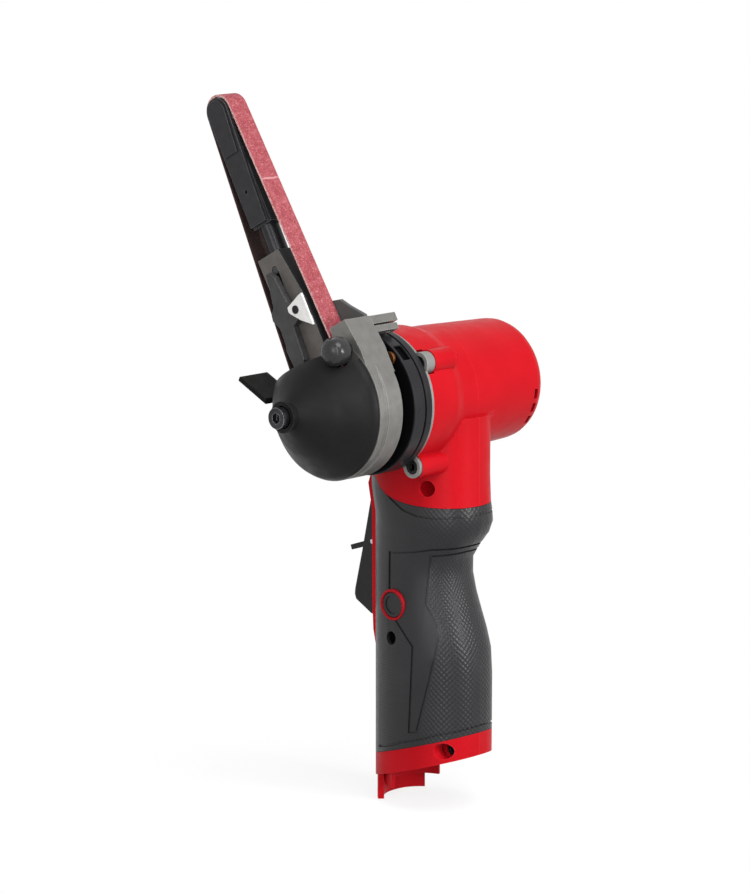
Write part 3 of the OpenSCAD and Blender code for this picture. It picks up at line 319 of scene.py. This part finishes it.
PLASTICS = {
    # finish: material, dark and light colour, roughness, specular level, size and depth of the grain
    # in millimetres, colour of rubbed edges, lighter also as a painted edge highlight
    "black": ("black_plastic", (22, 21, 23), (28, 27, 29), 0.38, 0.1, 0.5, 0.02, (70, 69, 71)),
    "cover": ("cover_plastic", (18, 17, 18), (23, 22, 23), 0.46, 0.1, 0.6, 0.02, (70, 69, 70)),
    "bezel": ("bezel_plastic", (138, 10, 20), (148, 13, 24), 0.5, 0.12, 0.5, 0.02, None),
    "plate": ("front_guard_plastic", (16, 16, 15), (22, 22, 20), 0.55, 0.05, 0.5, 0.02, (56, 56, 54)),
    "guard": ("guard_plastic", (70, 72, 71), (78, 80, 78), 0.5, 0.12, 0.6, 0.03, (100, 98, 95)),
    "paddle": ("paddle_plastic", (37, 37, 38), (44, 44, 45), 0.5, 0.1, 0.5, 0.03, (66, 66, 68)),
    "knob": ("knob_plastic", (32, 31, 32), (38, 37, 38), 0.26, 0.32, 0.5, 0.012, None),
    "tyre": ("wheel_tyre_rubber", (28, 28, 29), (36, 36, 37), 0.75, 0.3, 0.4, 0.03, None),
}
METALS = {
    # finish: material, dark and light colour, roughness, metallic share, size and depth of the grain
    # in millimetres, its stretch along the axes, colour of rubbed edges, lighter also as a painted
    # edge highlight, on the socket screw a painted glint
    "cast": ("cast_metal", (106, 105, 102), (116, 115, 112), 0.42, 0.6,
             0.55, 0.035, EVEN, (186, 185, 182)),
    "case": ("case_metal", (122, 122, 120), (136, 135, 133), 0.44, 0.45,
             0.55, 0.03, EVEN, (200, 200, 198)),
    "fork": ("fork_metal", (84, 80, 77), (94, 90, 87), 0.42, 0.4,
             0.6, 0.03, EVEN, (150, 146, 140)),
    "lever": ("lever_steel", (58, 57, 58), (66, 65, 66), 0.42, 0.35,
              0.5, 0.02, EVEN, (120, 119, 118)),
    "tip": ("tip_steel", (38, 37, 39), (44, 43, 45), 0.42, 0.25,
            0.5, 0.02, EVEN, (126, 126, 128)),
    "socket": ("socket_screw", (44, 44, 46), (66, 66, 68), 0.22, 0.85,
               0.3, 0.008, EVEN, (226, 226, 228)),
    "rod": ("rod_steel", (34, 34, 36), (42, 42, 44), 0.26, 0.3,
            0.4, 0.008, EVEN, None),
    "zinc": ("zinc_plate", (206, 205, 203), (222, 221, 219), 0.36, 0.3,
             0.4, 0.012, (1, 4, 1), (214, 214, 212)),
    "steel": ("bright_steel", (168, 170, 174), (196, 198, 202), 0.28, 0.9,
              0.3, 0.008, (4, 1, 1), None),
    "screw": ("black_oxide", (26, 26, 28), (38, 38, 40), 0.34, 0.7,
              0.3, 0.01, EVEN, (96, 96, 98)),
    "brass": ("brass", (92, 56, 30), (122, 78, 44), 0.4, 0.7,
              0.3, 0.01, EVEN, None),
}


def plastic(name, dark, light, roughness, specular, grain, depth, edge):
    """Moulded plastic: faintly cloudy colour, fine grain, edges a little lighter, partly rubbed and
    partly a painted highlight.
    """
    surface = Surface(name, specular=specular)
    tint = surface.clouds(PLASTIC_CLOUD, srgb(*dark), srgb(*light))
    if edge:
        tint = surface.wear_and_edge_highlight(tint, srgb(*edge), PLASTIC_EDGE, PLASTIC_WEAR_AND_HIGHLIGHT)
    surface.colour(tint)
    patches = surface.noise(PLASTIC_PATCH, detail=4)
    surface.roughness(surface.spread(patches, *(roughness + gloss for gloss in PLASTIC_GLOSS)))
    surface.relief(surface.noise(grain * MM), depth * MM)
    return surface.material


def metal(name, dark, light, roughness, metallic, grain, depth, stretch, edge):
    """Metal with cloudy tarnish, a grain that may run along one axis, and brighter edges, partly
    rubbed and partly a painted highlight.
    """
    surface = Surface(name, metallic=metallic, specular=METAL_SPECULAR)
    tint = surface.clouds(METAL_CLOUD, srgb(*dark), srgb(*light), detail=5)
    if edge:
        tint = surface.wear_and_edge_highlight(tint, srgb(*edge), METAL_EDGE, METAL_WEAR_AND_HIGHLIGHT)
    surface.colour(tint)
    streaks = surface.noise(grain * MM, detail=3, stretch=stretch)
    surface.roughness(surface.spread(streaks, *(roughness + gloss for gloss in METAL_GLOSS)))
    surface.relief(streaks, depth * MM)
    return surface.material


# Housing

# Screw hole that passes through the grip: its place on the side, its radius, and how far out from the
# handle's middle plane its dark lining starts, partly the grip's soft rubber and partly painted shade
GRIP_HOLE_Y = -3.5 * MM
GRIP_HOLE_Z = 56.4 * MM
GRIP_HOLE_RADIUS = 4.6 * MM
GRIP_HOLE_INNER = 6 * MM
RED_WEAR_AND_HIGHLIGHT = 0.4


def red_plastic():
    """Housing shell; the screw hole that passes through the grip is painted near black, partly its
    soft lining and partly painted shade.
    """
    surface = Surface("red_plastic", specular=0.07)
    tint = surface.clouds(PLASTIC_CLOUD, srgb(167, 11, 22), srgb(174, 14, 25))
    # lighter edges: partly rub wear, partly a painted edge highlight
    tint = surface.wear_and_edge_highlight(tint, srgb(222, 52, 60), PLASTIC_EDGE, RED_WEAR_AND_HIGHLIGHT)
    x, y, z = surface.axes()
    # painted shade: inside the hole the lining is painted near black, darker than the grip's own
    # rubber
    off_hole = surface.hypot(surface.minus(y, GRIP_HOLE_Y), surface.minus(z, GRIP_HOLE_Z))
    near = surface.math("LESS_THAN", off_hole, GRIP_HOLE_RADIUS)
    lining_and_shade = surface.times(near, surface.math("GREATER_THAN", x, GRIP_HOLE_INNER))
    surface.colour(surface.mix(lining_and_shade, tint, srgb(16, 15, 16)))
    surface.roughness(surface.spread(surface.noise(PLASTIC_PATCH, detail=4), 0.34, 0.46))
    surface.relief(surface.noise(0.6 * MM), 0.02 * MM)
    return surface.material


RING_RIM = (28.6 * MM, 29.2 * MM)   # distances from the axis between which the ring turns from dull and painted darker to glossy


def index_ring_plastic():
    """Glossy black ring whose front face, groove and notch stay dull, and are painted darker as
    painted shade.
    """
    surface = Surface("index_ring_plastic")
    outside = surface.spread(off_axis(surface), 0.0, 1.0, source=RING_RIM)
    tint = surface.clouds(9 * MM, srgb(28, 27, 29), srgb(35, 34, 36))
    # painted shade: the front face, groove and notch inside the rim are painted darker than the ring
    surface.colour(surface.mix(outside, srgb(9, 8, 10), tint))
    dull = surface.spread(outside, 0.75, 0.3, source=(0.0, 1.0))
    surface.roughness(surface.plus(dull, surface.spread(surface.noise(3 * MM), -0.04, 0.06)))
    surface.specular(surface.spread(outside, 0.02, 0.14, source=(0.0, 1.0)))
    surface.relief(surface.noise(0.5 * MM), 0.015 * MM)
    return surface.material


# Grip

# Borders of the grip's panels, seen from between the side and the palm:
# height and shift across, in millimetres
PANEL_TURN = math.radians(43)
PALM_PANEL_BORDER = [(19.3, -5.1), (62.2, 4.6), (72.5, -1.4), (92.7, 0.6)]
FRONT_PANEL_BORDER = [(18.4, -8.2), (54.8, -6.8), (61.6, -13.3)]
PALM_PANEL_TOP = 92.9 * MM
FRONT_PANEL_TOP = 61.0 * MM
COLLAR_LOW = 98.0 * MM
COLLAR_START = -6 * MM
PANEL_EDGE = (0.4 * MM, 1.4 * MM)   # distances past a border between which the pattern comes up
BORDER_SPAN = (10.0, 110.0)         # heights that a border's ramp covers
BORDER_SHIFT = 40.0                 # largest shift that it can hold

GRIP_RADIUS = 22 * MM               # turns an angle round the handle into a width
SCALE_WIDTH = 1.8 * MM
SCALE_HEIGHT = 2.3 * MM
COLLAR_SCALES = 0.7                 # depth of the collar's scales as a share of the palm's
WAVE_HEIGHT = 1.25 * MM
WAVE_SWAY = 0.9
FRONT_WAVES = 0.35
GRIP_RELIEF = 0.15 * MM


def border(surface, height, points):
    """Shift of a panel's border at a height, in metres."""
    low, high = BORDER_SPAN
    stops = []
    for z, shift in points:
        level = (shift + BORDER_SHIFT) / (2 * BORDER_SHIFT)
        stops.append(((z - low) / (high - low), (level, level, level, 1.0)))
    along = surface.spread(height, 0.0, 1.0, source=(low * MM, high * MM))
    level = surface.add("ShaderNodeSeparateColor")
    surface.feed(level.inputs[0], surface.ramp(along, stops))
    reach = BORDER_SHIFT * MM
    return surface.spread(level.outputs[0], -reach, reach, source=(0.0, 1.0))


def soft_grip():
    """Soft rubber: smooth centre strip, diamond scales on palm panel and collar, waves in front, with
    painted shade in their hollows.
    """
    surface = Surface("soft_grip", specular=0.24)
    x, y, z = surface.axes()
    side = surface.math("ABSOLUTE", x)
    shift = surface.minus(
        surface.times(y, math.cos(PANEL_TURN)), surface.times(side, math.sin(PANEL_TURN)))
    around = surface.times(surface.math("ARCTAN2", y, side), GRIP_RADIUS)
    across = surface.times(around, 2 * math.pi / SCALE_WIDTH)
    up = surface.times(z, 2 * math.pi / SCALE_HEIGHT)
    scales = surface.times(surface.math("COSINE", across), surface.math("COSINE", up))
    sway = surface.times(surface.math("SINE", surface.times(across, 0.5)), WAVE_SWAY)
    rise = surface.times(z, 2 * math.pi / WAVE_HEIGHT)
    waves = surface.math("SINE", surface.plus(rise, sway))

    def beyond(value, limit):
        past = surface.minus(value, limit)
        return surface.spread(past, 0.0, 1.0, source=PANEL_EDGE, soft=True)

    palm_border = border(surface, z, PALM_PANEL_BORDER)
    front_border = border(surface, z, FRONT_PANEL_BORDER)
    palm = surface.times(beyond(shift, palm_border), beyond(PALM_PANEL_TOP, z))
    front = surface.times(beyond(front_border, shift), beyond(FRONT_PANEL_TOP, z))
    collar = surface.times(beyond(z, COLLAR_LOW), beyond(shift, COLLAR_START))
    scaled = surface.plus(palm, surface.times(collar, COLLAR_SCALES))
    relief = surface.plus(
        surface.times(scales, scaled), surface.times(waves, surface.times(front, FRONT_WAVES)))

    tint = surface.clouds(16 * MM, srgb(31, 30, 32), srgb(37, 36, 38))
    # painted shade: the hollows of the scales and waves are darker
    hollow_shade = surface.spread(relief, 0.0, 0.3, source=(0.1, -1.0))
    surface.colour(surface.mix(hollow_shade, tint, srgb(22, 22, 23)))
    surface.roughness(surface.spread(surface.noise(3 * MM, detail=4), 0.34, 0.42))
    lifted = surface.spread(relief, 0.0, 1.0, source=(-1.0, 1.0))
    grain = surface.times(surface.noise(0.45 * MM), 0.1)
    surface.relief(surface.plus(lifted, grain), GRIP_RELIEF)
    return surface.material


# Belt

BELT_REACH = 129.6 * MM             # from the drive wheel's axis to the tip roller's
SPLICE_ALONG = 96.0 * MM
SPLICE_HALF = 0.45 * MM
WEAVE_THREAD = 0.5 * MM
PALE_FROM = (-6 * MM, -2 * MM)      # places across the arm between which the cut edge turns from painted shade to pale


def abrasive():
    """Coated belt face: pinkish red bond, pale and dark grains, one pale splice across the run."""
    surface = Surface("abrasive", specular=0.3)
    bond = surface.ramp(surface.noise(2.6 * MM, detail=4), [
        (0.25, srgb(126, 47, 54)), (0.5, srgb(141, 62, 69)), (0.75, srgb(154, 83, 88))])
    grains = surface.noise(0.6 * MM, detail=3, contrast=0.65)
    pale = surface.spread(grains, 0.0, 0.55, source=(0.56, 0.66))
    tint = surface.mix(pale, bond, srgb(206, 146, 148))
    dark = surface.spread(grains, 0.6, 0.0, source=(0.34, 0.42))
    tint = surface.mix(dark, tint, srgb(108, 30, 38))
    _, along = arm_place(surface)
    off_splice = surface.math("ABSOLUTE", surface.minus(along, SPLICE_ALONG))
    ragged = surface.plus(
        off_splice, surface.spread(surface.noise(0.9 * MM), -0.3 * MM, 0.3 * MM))
    fade = (SPLICE_HALF * 0.4, SPLICE_HALF * 1.3)
    seam = surface.spread(ragged, 0.28, 0.0, source=fade, soft=True)
    surface.colour(surface.mix(seam, tint, srgb(236, 196, 194)))
    surface.roughness(surface.spread(grains, 0.7, 0.95))
    surface.relief(grains, 0.16 * MM)
    return surface.material


def belt_backing():
    """Woven cloth on the inside of the belt."""
    surface = Surface("belt_backing", roughness=0.85, specular=0.2)
    x, _, _ = surface.axes()
    _, along = arm_place(surface)
    warp, weft = (
        surface.math("SINE", surface.times(place, 2 * math.pi / WEAVE_THREAD))
        for place in (x, along))
    weave = surface.times(warp, weft)
    depth = surface.spread(weave, 0.0, 0.5, source=(-1, 1))
    surface.colour(surface.mix(depth, srgb(44, 30, 28), srgb(26, 18, 18)))
    surface.relief(surface.spread(weave, 0, 1, source=(-1, 1)), 0.08 * MM)
    return surface.material


def belt_edge():
    """Cut edge of the belt: pale frayed fibres along the working run; along the other run the same
    fibres are painted dark as painted shade.
    """
    surface = Surface("belt_edge", roughness=0.9, specular=0.2)
    fibres = surface.noise(0.5 * MM, detail=3)
    pale = surface.ramp(fibres, [(0.35, srgb(160, 78, 80)), (0.6, srgb(216, 180, 176))])
    # painted shade: the edge's fibres darkened along the return run
    dark = surface.ramp(fibres, [(0.35, srgb(34, 24, 24)), (0.65, srgb(66, 44, 42))])
    across, _ = arm_place(surface)
    surface.colour(surface.mix(surface.spread(across, 0.0, 1.0, source=PALE_FROM), dark, pale))
    surface.relief(fibres, 0.1 * MM)
    return surface.material


# Inside

WIRE = 0.8 * MM
WINDING_RADIUS = 16 * MM


def circuit_board():
    surface = Surface("circuit_board")
    tracks = surface.noise(2 * MM, detail=1, stretch=(1, 1, 4))
    surface.colour(surface.ramp(tracks, [(0.46, srgb(16, 74, 44)), (0.5, srgb(34, 110, 66))]))
    surface.roughness(surface.spread(tracks, 0.3, 0.5))
    surface.relief(tracks, 0.03 * MM)
    return surface.material


def copper_wire():
    """Wound copper: round wires side by side round the motor axis."""
    surface = Surface("copper_wire", metallic=0.9)
    _, y, z = surface.axes()
    turn = surface.math("ARCTAN2", y, surface.minus(z, MOTOR_AXIS_Z))
    rows = surface.math("SINE", surface.times(turn, 2 * math.pi * WINDING_RADIUS / WIRE))
    rows = surface.spread(rows, 0.0, 1.0, source=(-1, 1))
    # painted shade: the copper is darker in the grooves between the wires
    surface.colour(surface.ramp(rows, [(0.0, srgb(96, 44, 22)), (0.6, srgb(190, 110, 62))]))
    surface.roughness(surface.spread(surface.noise(2 * MM), 0.3, 0.45))
    surface.relief(rows, 0.2 * MM)
    return surface.material


def make_materials():
    made = {
        "red": red_plastic(),
        "grip": soft_grip(),
        "ring": index_ring_plastic(),
        "copper": copper_wire(),
        "board": circuit_board(),
        "abrasive": abrasive(),
        "backing": belt_backing(),
        "belt_edge": belt_edge(),
    }
    made.update({finish: plastic(*row) for finish, row in PLASTICS.items()})
    made.update({finish: metal(*row) for finish, row in METALS.items()})
    return made


# Pieces

# Nodes that are shown through a copy with smooth shading; the last value is the rounding of the
# copy's edges in millimetres, 0 for edges that stay as they are
FINISHES = [
    ("red", ["housing_right", "housing_left"], 0.0),
    ("bezel", ["mode_bezel"], 0.25),
    ("grip", ["grip_right", "grip_left"], 0.0),
    ("grip", ["mode_button"], 0.0),
    ("paddle", ["trigger_paddle"], 0.6),
    ("paddle", ["lock_tab"], 0.35),
    ("ring", ["index_ring"], 0.5),
    ("knob", ["tracking_knob"], 0.2),
    ("plate", ["front_guard"], 0.3),
    ("guard", ["rear_guard"], 0.3),
    ("cover", ["belt_cover"], 0.4),
    ("cast", ["head_frame"], 0.5),
    ("case", ["gear_case"], 0.35),
    ("fork", ["arm_fork"], 0.4),
    ("lever", ["tension_lever"], 0.35),
    ("tip", ["tip_holder"], 0.35),
    ("tip", ["tip_cover"], 0.2),
    ("rod", ["slide_rod"], 0.2),
    ("zinc", ["link_plate"], 0.2),
    ("screw", ["gear_case_screws", "housing_screws", "arm_screws", "clamp_screw"], 0.25),
    ("socket", ["wheel_screw"], 0.25),
    ("brass", ["ring_screw"], 0.25),
]
# Nodes that are painted as they are
PLAIN_FINISHES = {
    "steel": [
        "trigger_pin", "trigger_spring", "lock_pin", "contact_blades", "stator", "rotor_core",
        "rotor_shaft", "rear_bearing", "front_bearing", "ring_gear", "sun_gear", "planet_1",
        "planet_2", "planet_3", "planet_pins", "carrier_spindle", "spindle_bearing",
        "head_retainer", "drive_wheel", "wheel_spacer", "tension_spring", "tip_roller",
        "roller_pin",
    ],
    "black": ["button_switch", "trigger_switch", "terminal_block", "cooling_fan"],
    "screw": ["lever_pin"],
    "lever": ["slide_pin"],
    "board": ["controller_board"],
    "copper": ["stator_windings"],
    "tyre": ["wheel_tyre"],
}
SMOOTH_ANGLE = math.radians(38)
FLAT_ANGLE = math.radians(0.6)
WELD_DISTANCE = 2e-6
FACING = 0.7           # least dot product of a face's normal with the direction that it faces

# The cover's flank: distance from the motor axis and place along it, at the foot and at the boss,
# in millimetres
COVER_FOOT = (27.6, 63.3)
COVER_BOSS = (6.4, 82.5)
FLANK_NEAR = 0.08      # millimetres off the flank within which a point belongs to it
FLANK_END = 0.004      # share of the flank by which such a point may lie past an end
FOLD_SHARE = 0.5       # place of the fold between foot and boss
FOLD_SOFT = 0.06       # how far the fold is spread, as a share of the flank
FOLD_LIFT = 0.985      # millimetres at the fold, less what its softness takes
FOLD_SLOPE = 2.8       # millimetres lost on each side over a whole flank
FOLD_LEAN = 0.85       # millimetres by which the boss lies lower than the foot over a whole flank
FOLD_CUTS = 24         # rings into which the flank is cut


def node_body(node):
    return nodes[node]["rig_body"]


def clean_copy(node):
    """A new object with the node's mesh, its doubled points welded and its flat faces joined."""
    name = node + "_finish"
    mesh = nodes[node].data.copy()
    mesh.name = name
    form = bmesh.new()
    form.from_mesh(mesh)
    bmesh.ops.remove_doubles(form, verts=form.verts, dist=WELD_DISTANCE)
    bmesh.ops.dissolve_limit(form, angle_limit=FLAT_ANGLE, verts=form.verts, edges=form.edges)
    form.to_mesh(mesh)
    form.free()
    if "custom_normal" in mesh.attributes:
        mesh.attributes.remove(mesh.attributes["custom_normal"])
    mesh.materials.clear()
    piece = bpy.data.objects.new(name, mesh)
    scene.collection.objects.link(piece)
    return piece


def stand_in(piece, node):
    """The piece takes the node's place and body, and the node is hidden."""
    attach(piece, node_body(node))
    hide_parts(node)


def shade(piece):
    piece.data.shade_smooth()
    piece.data.set_sharp_from_angle(angle=SMOOTH_ANGLE)


def rounded(piece, width):
    """Rounds the sharp edges by a width in millimetres, and shades the faces evenly."""
    if width:
        bevel = piece.modifiers.new("rounded_edges", "BEVEL")
        bevel.width = width * MM
        bevel.segments = 2
        bevel.limit_method = "ANGLE"
        bevel.angle_limit = SMOOTH_ANGLE
        bevel.miter_outer = "MITER_ARC"
        bevel.use_clamp_overlap = True
        piece.data.shade_smooth()
    else:
        shade(piece)
    weighted = piece.modifiers.new("even_shading", "WEIGHTED_NORMAL")
    weighted.keep_sharp = True


def fold_flank(piece):
    """A soft fold: the cover's straight flank is lifted at one ring and falls off on both sides."""
    form = bmesh.new()
    form.from_mesh(piece.data)
    foot, boss = Vector(COVER_FOOT) * MM, Vector(COVER_BOSS) * MM
    run = boss - foot
    outwards = Vector((run.y, -run.x)).normalized()
    for cut in range(FOLD_CUTS):
        bmesh.ops.bisect_plane(
            form, geom=form.verts[:] + form.edges[:] + form.faces[:], dist=FLANK_NEAR * MM,
            plane_co=(foot.y + run.y * cut / FOLD_CUTS, 0, 0), plane_no=(1, 0, 0))
    for vertex in form.verts:
        radial = Vector((0, vertex.co.y, vertex.co.z - MOTOR_AXIS_Z))
        place = Vector((radial.length, vertex.co.x)) - foot
        share = place.dot(run) / run.length_squared
        along = -FLANK_END < share < 1 + FLANK_END
        if not along or abs(place.dot(outwards)) > FLANK_NEAR * MM:
            continue
        away = math.hypot(share - FOLD_SHARE, FOLD_SOFT)
        lift = FOLD_LIFT - FOLD_SLOPE * away + FOLD_LEAN * (FOLD_SHARE - share)
        moved = outwards * (lift * MM)
        vertex.co += radial.normalized() * moved.x
        vertex.co.x += moved.y
    form.to_mesh(piece.data)
    form.free()


def paint_belt_gap_shade(piece, material):
    """The side of the fork that faces the belt's working run is painted in the tip's dark steel, as
    painted shade of the narrow gap between fork and belt.
    """
    piece.data.materials.append(material)
    for face in piece.data.polygons:
        if face.normal.dot(ACROSS_ARM) > FACING:
            face.material_index = 1


def dress(materials, finish, node, width):
    piece = clean_copy(node)
    piece.data.materials.append(materials[finish])
    if node == "belt_cover":
        fold_flank(piece)
    if node == "arm_fork":
        # painted shade on the fork's side next to the belt
        paint_belt_gap_shade(piece, materials["tip"])
    rounded(piece, width)
    stand_in(piece, node)


def paint(material, node):
    for slot in nodes[node].material_slots:
        slot.link = "OBJECT"
        slot.material = material


def dress_belt(materials):
    """Coated face outside, cloth inside, and the cut edges."""
    piece = clean_copy("belt")
    mesh = piece.data
    coated, cloth, cut = range(3)
    for name in ("abrasive", "backing", "belt_edge"):
        mesh.materials.append(materials[name])
    low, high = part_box("belt")
    middle = (low + high) / 2
    for face in mesh.polygons:
        if abs(face.normal.x) > FACING:
            face.material_index = cut
            continue
        place = face.center - Vector((middle.x, 0, MOTOR_AXIS_Z))
        reach = max(0.0, min(BELT_REACH, place.dot(ALONG_ARM)))
        outwards = place - ALONG_ARM * reach
        outwards.x = 0
        face.material_index = coated if outwards.dot(face.normal) > 0 else cloth
    shade(piece)
    stand_in(piece, "belt")


# Stage

FLOOR_HALF = 4.0
FLOOR_GAP = 0.4 * MM
SHADOW_REACH = (0.04, 0.16)         # distances from the handle between which its shadow fades
SHADOW_WHITE = 0.8                  # share of plain white that stays in the shadow
BOUNCE_GREY = (165, 165, 165)       # colour in which the floor lights the part
SKY_BRIGHT_SIDE = (0.5, 0.55, 0.67)
SKY_LEVELS = (0.1, 0.45)            # strength away from the bright side and on it

LAMPS = [
    # name, direction from the target as turn and rise in degrees, distance, width, height in metres,
    # power in watts
    ("key", 80, 58, 0.9, 0.5, 0.5, 5.4),
    ("palm", 102, 12, 1.0, 0.18, 0.36, 7.0),
    ("band", 38, 14, 0.9, 0.14, 0.8, 4.2),
    ("front", 4, 14, 1.0, 0.4, 0.4, 2.3),
    ("rear", 250, 45, 1.1, 0.6, 0.6, 2.6),
]


def floor_paper():
    """White with a faint shadow near the part; what it throws back on the part is grey."""
    surface = Surface("floor_paper", roughness=0.9, specular=0.1)
    camera = surface.add("ShaderNodeLightPath").outputs["Is Camera Ray"]
    paper = surface.clouds(30 * MM, srgb(252, 252, 252), srgb(255, 255, 255), detail=2)
    surface.colour(surface.mix(camera, srgb(*BOUNCE_GREY), paper))
    x, y, _ = surface.axes()
    away = surface.hypot(x, y)
    share = surface.spread(away, SHADOW_WHITE, 1.0, source=SHADOW_REACH, soft=True)
    white = surface.add("ShaderNodeEmission")
    seen = surface.times(surface.white_rays(), share)
    surface.blend(seen, surface.shader, white, "Material Output")
    return surface.material


def add_floor():
    low, _ = cad_box
    mesh = bpy.data.meshes.new("floor")
    corners = [(-1, -1), (1, -1), (1, 1), (-1, 1)]
    z = low[2] - FLOOR_GAP
    points = [(x * FLOOR_HALF, y * FLOOR_HALF, z) for x, y in corners]
    mesh.from_pydata(points, [], [(0, 1, 2, 3)])
    mesh.materials.append(floor_paper())
    floor = bpy.data.objects.new("floor", mesh)
    scene.collection.objects.link(floor)


def add_world():
    """White where it is seen; a soft sky, brighter above and on the palm side, lights the part."""
    world = bpy.data.worlds.new("studio")
    scene.world = world
    world.use_nodes = True
    graph = Nodes(world.node_tree)
    sky = graph.tree.nodes["Background"]
    white = graph.add("ShaderNodeBackground")
    for background in (sky, white):
        background.inputs["Color"].default_value = WHITE
    place = graph.add("ShaderNodeTexCoord").outputs["Generated"]
    level = graph.spread(graph.dot(place, SKY_BRIGHT_SIDE), *SKY_LEVELS, source=(-1.0, 1.0))
    graph.feed(sky.inputs["Strength"], level)
    graph.blend(graph.white_rays(), sky, white, "World Output")


def add_lamps():
    for name, turn, rise, distance, width, height, power in LAMPS:
        data = bpy.data.lights.new(name, "AREA")
        data.shape = "RECTANGLE"
        data.size = width
        data.size_y = height
        data.energy = power
        add_aimed(name, data, turn, rise, distance)


scene.view_settings.view_transform = "Standard"
add_camera()
materials = make_materials()
for finish, names, width in FINISHES:
    for node in names:
        dress(materials, finish, node, width)
for finish, names in PLAIN_FINISHES.items():
    for node in names:
        paint(materials[finish], node)
dress_belt(materials)
add_floor()
add_world()
add_lamps()
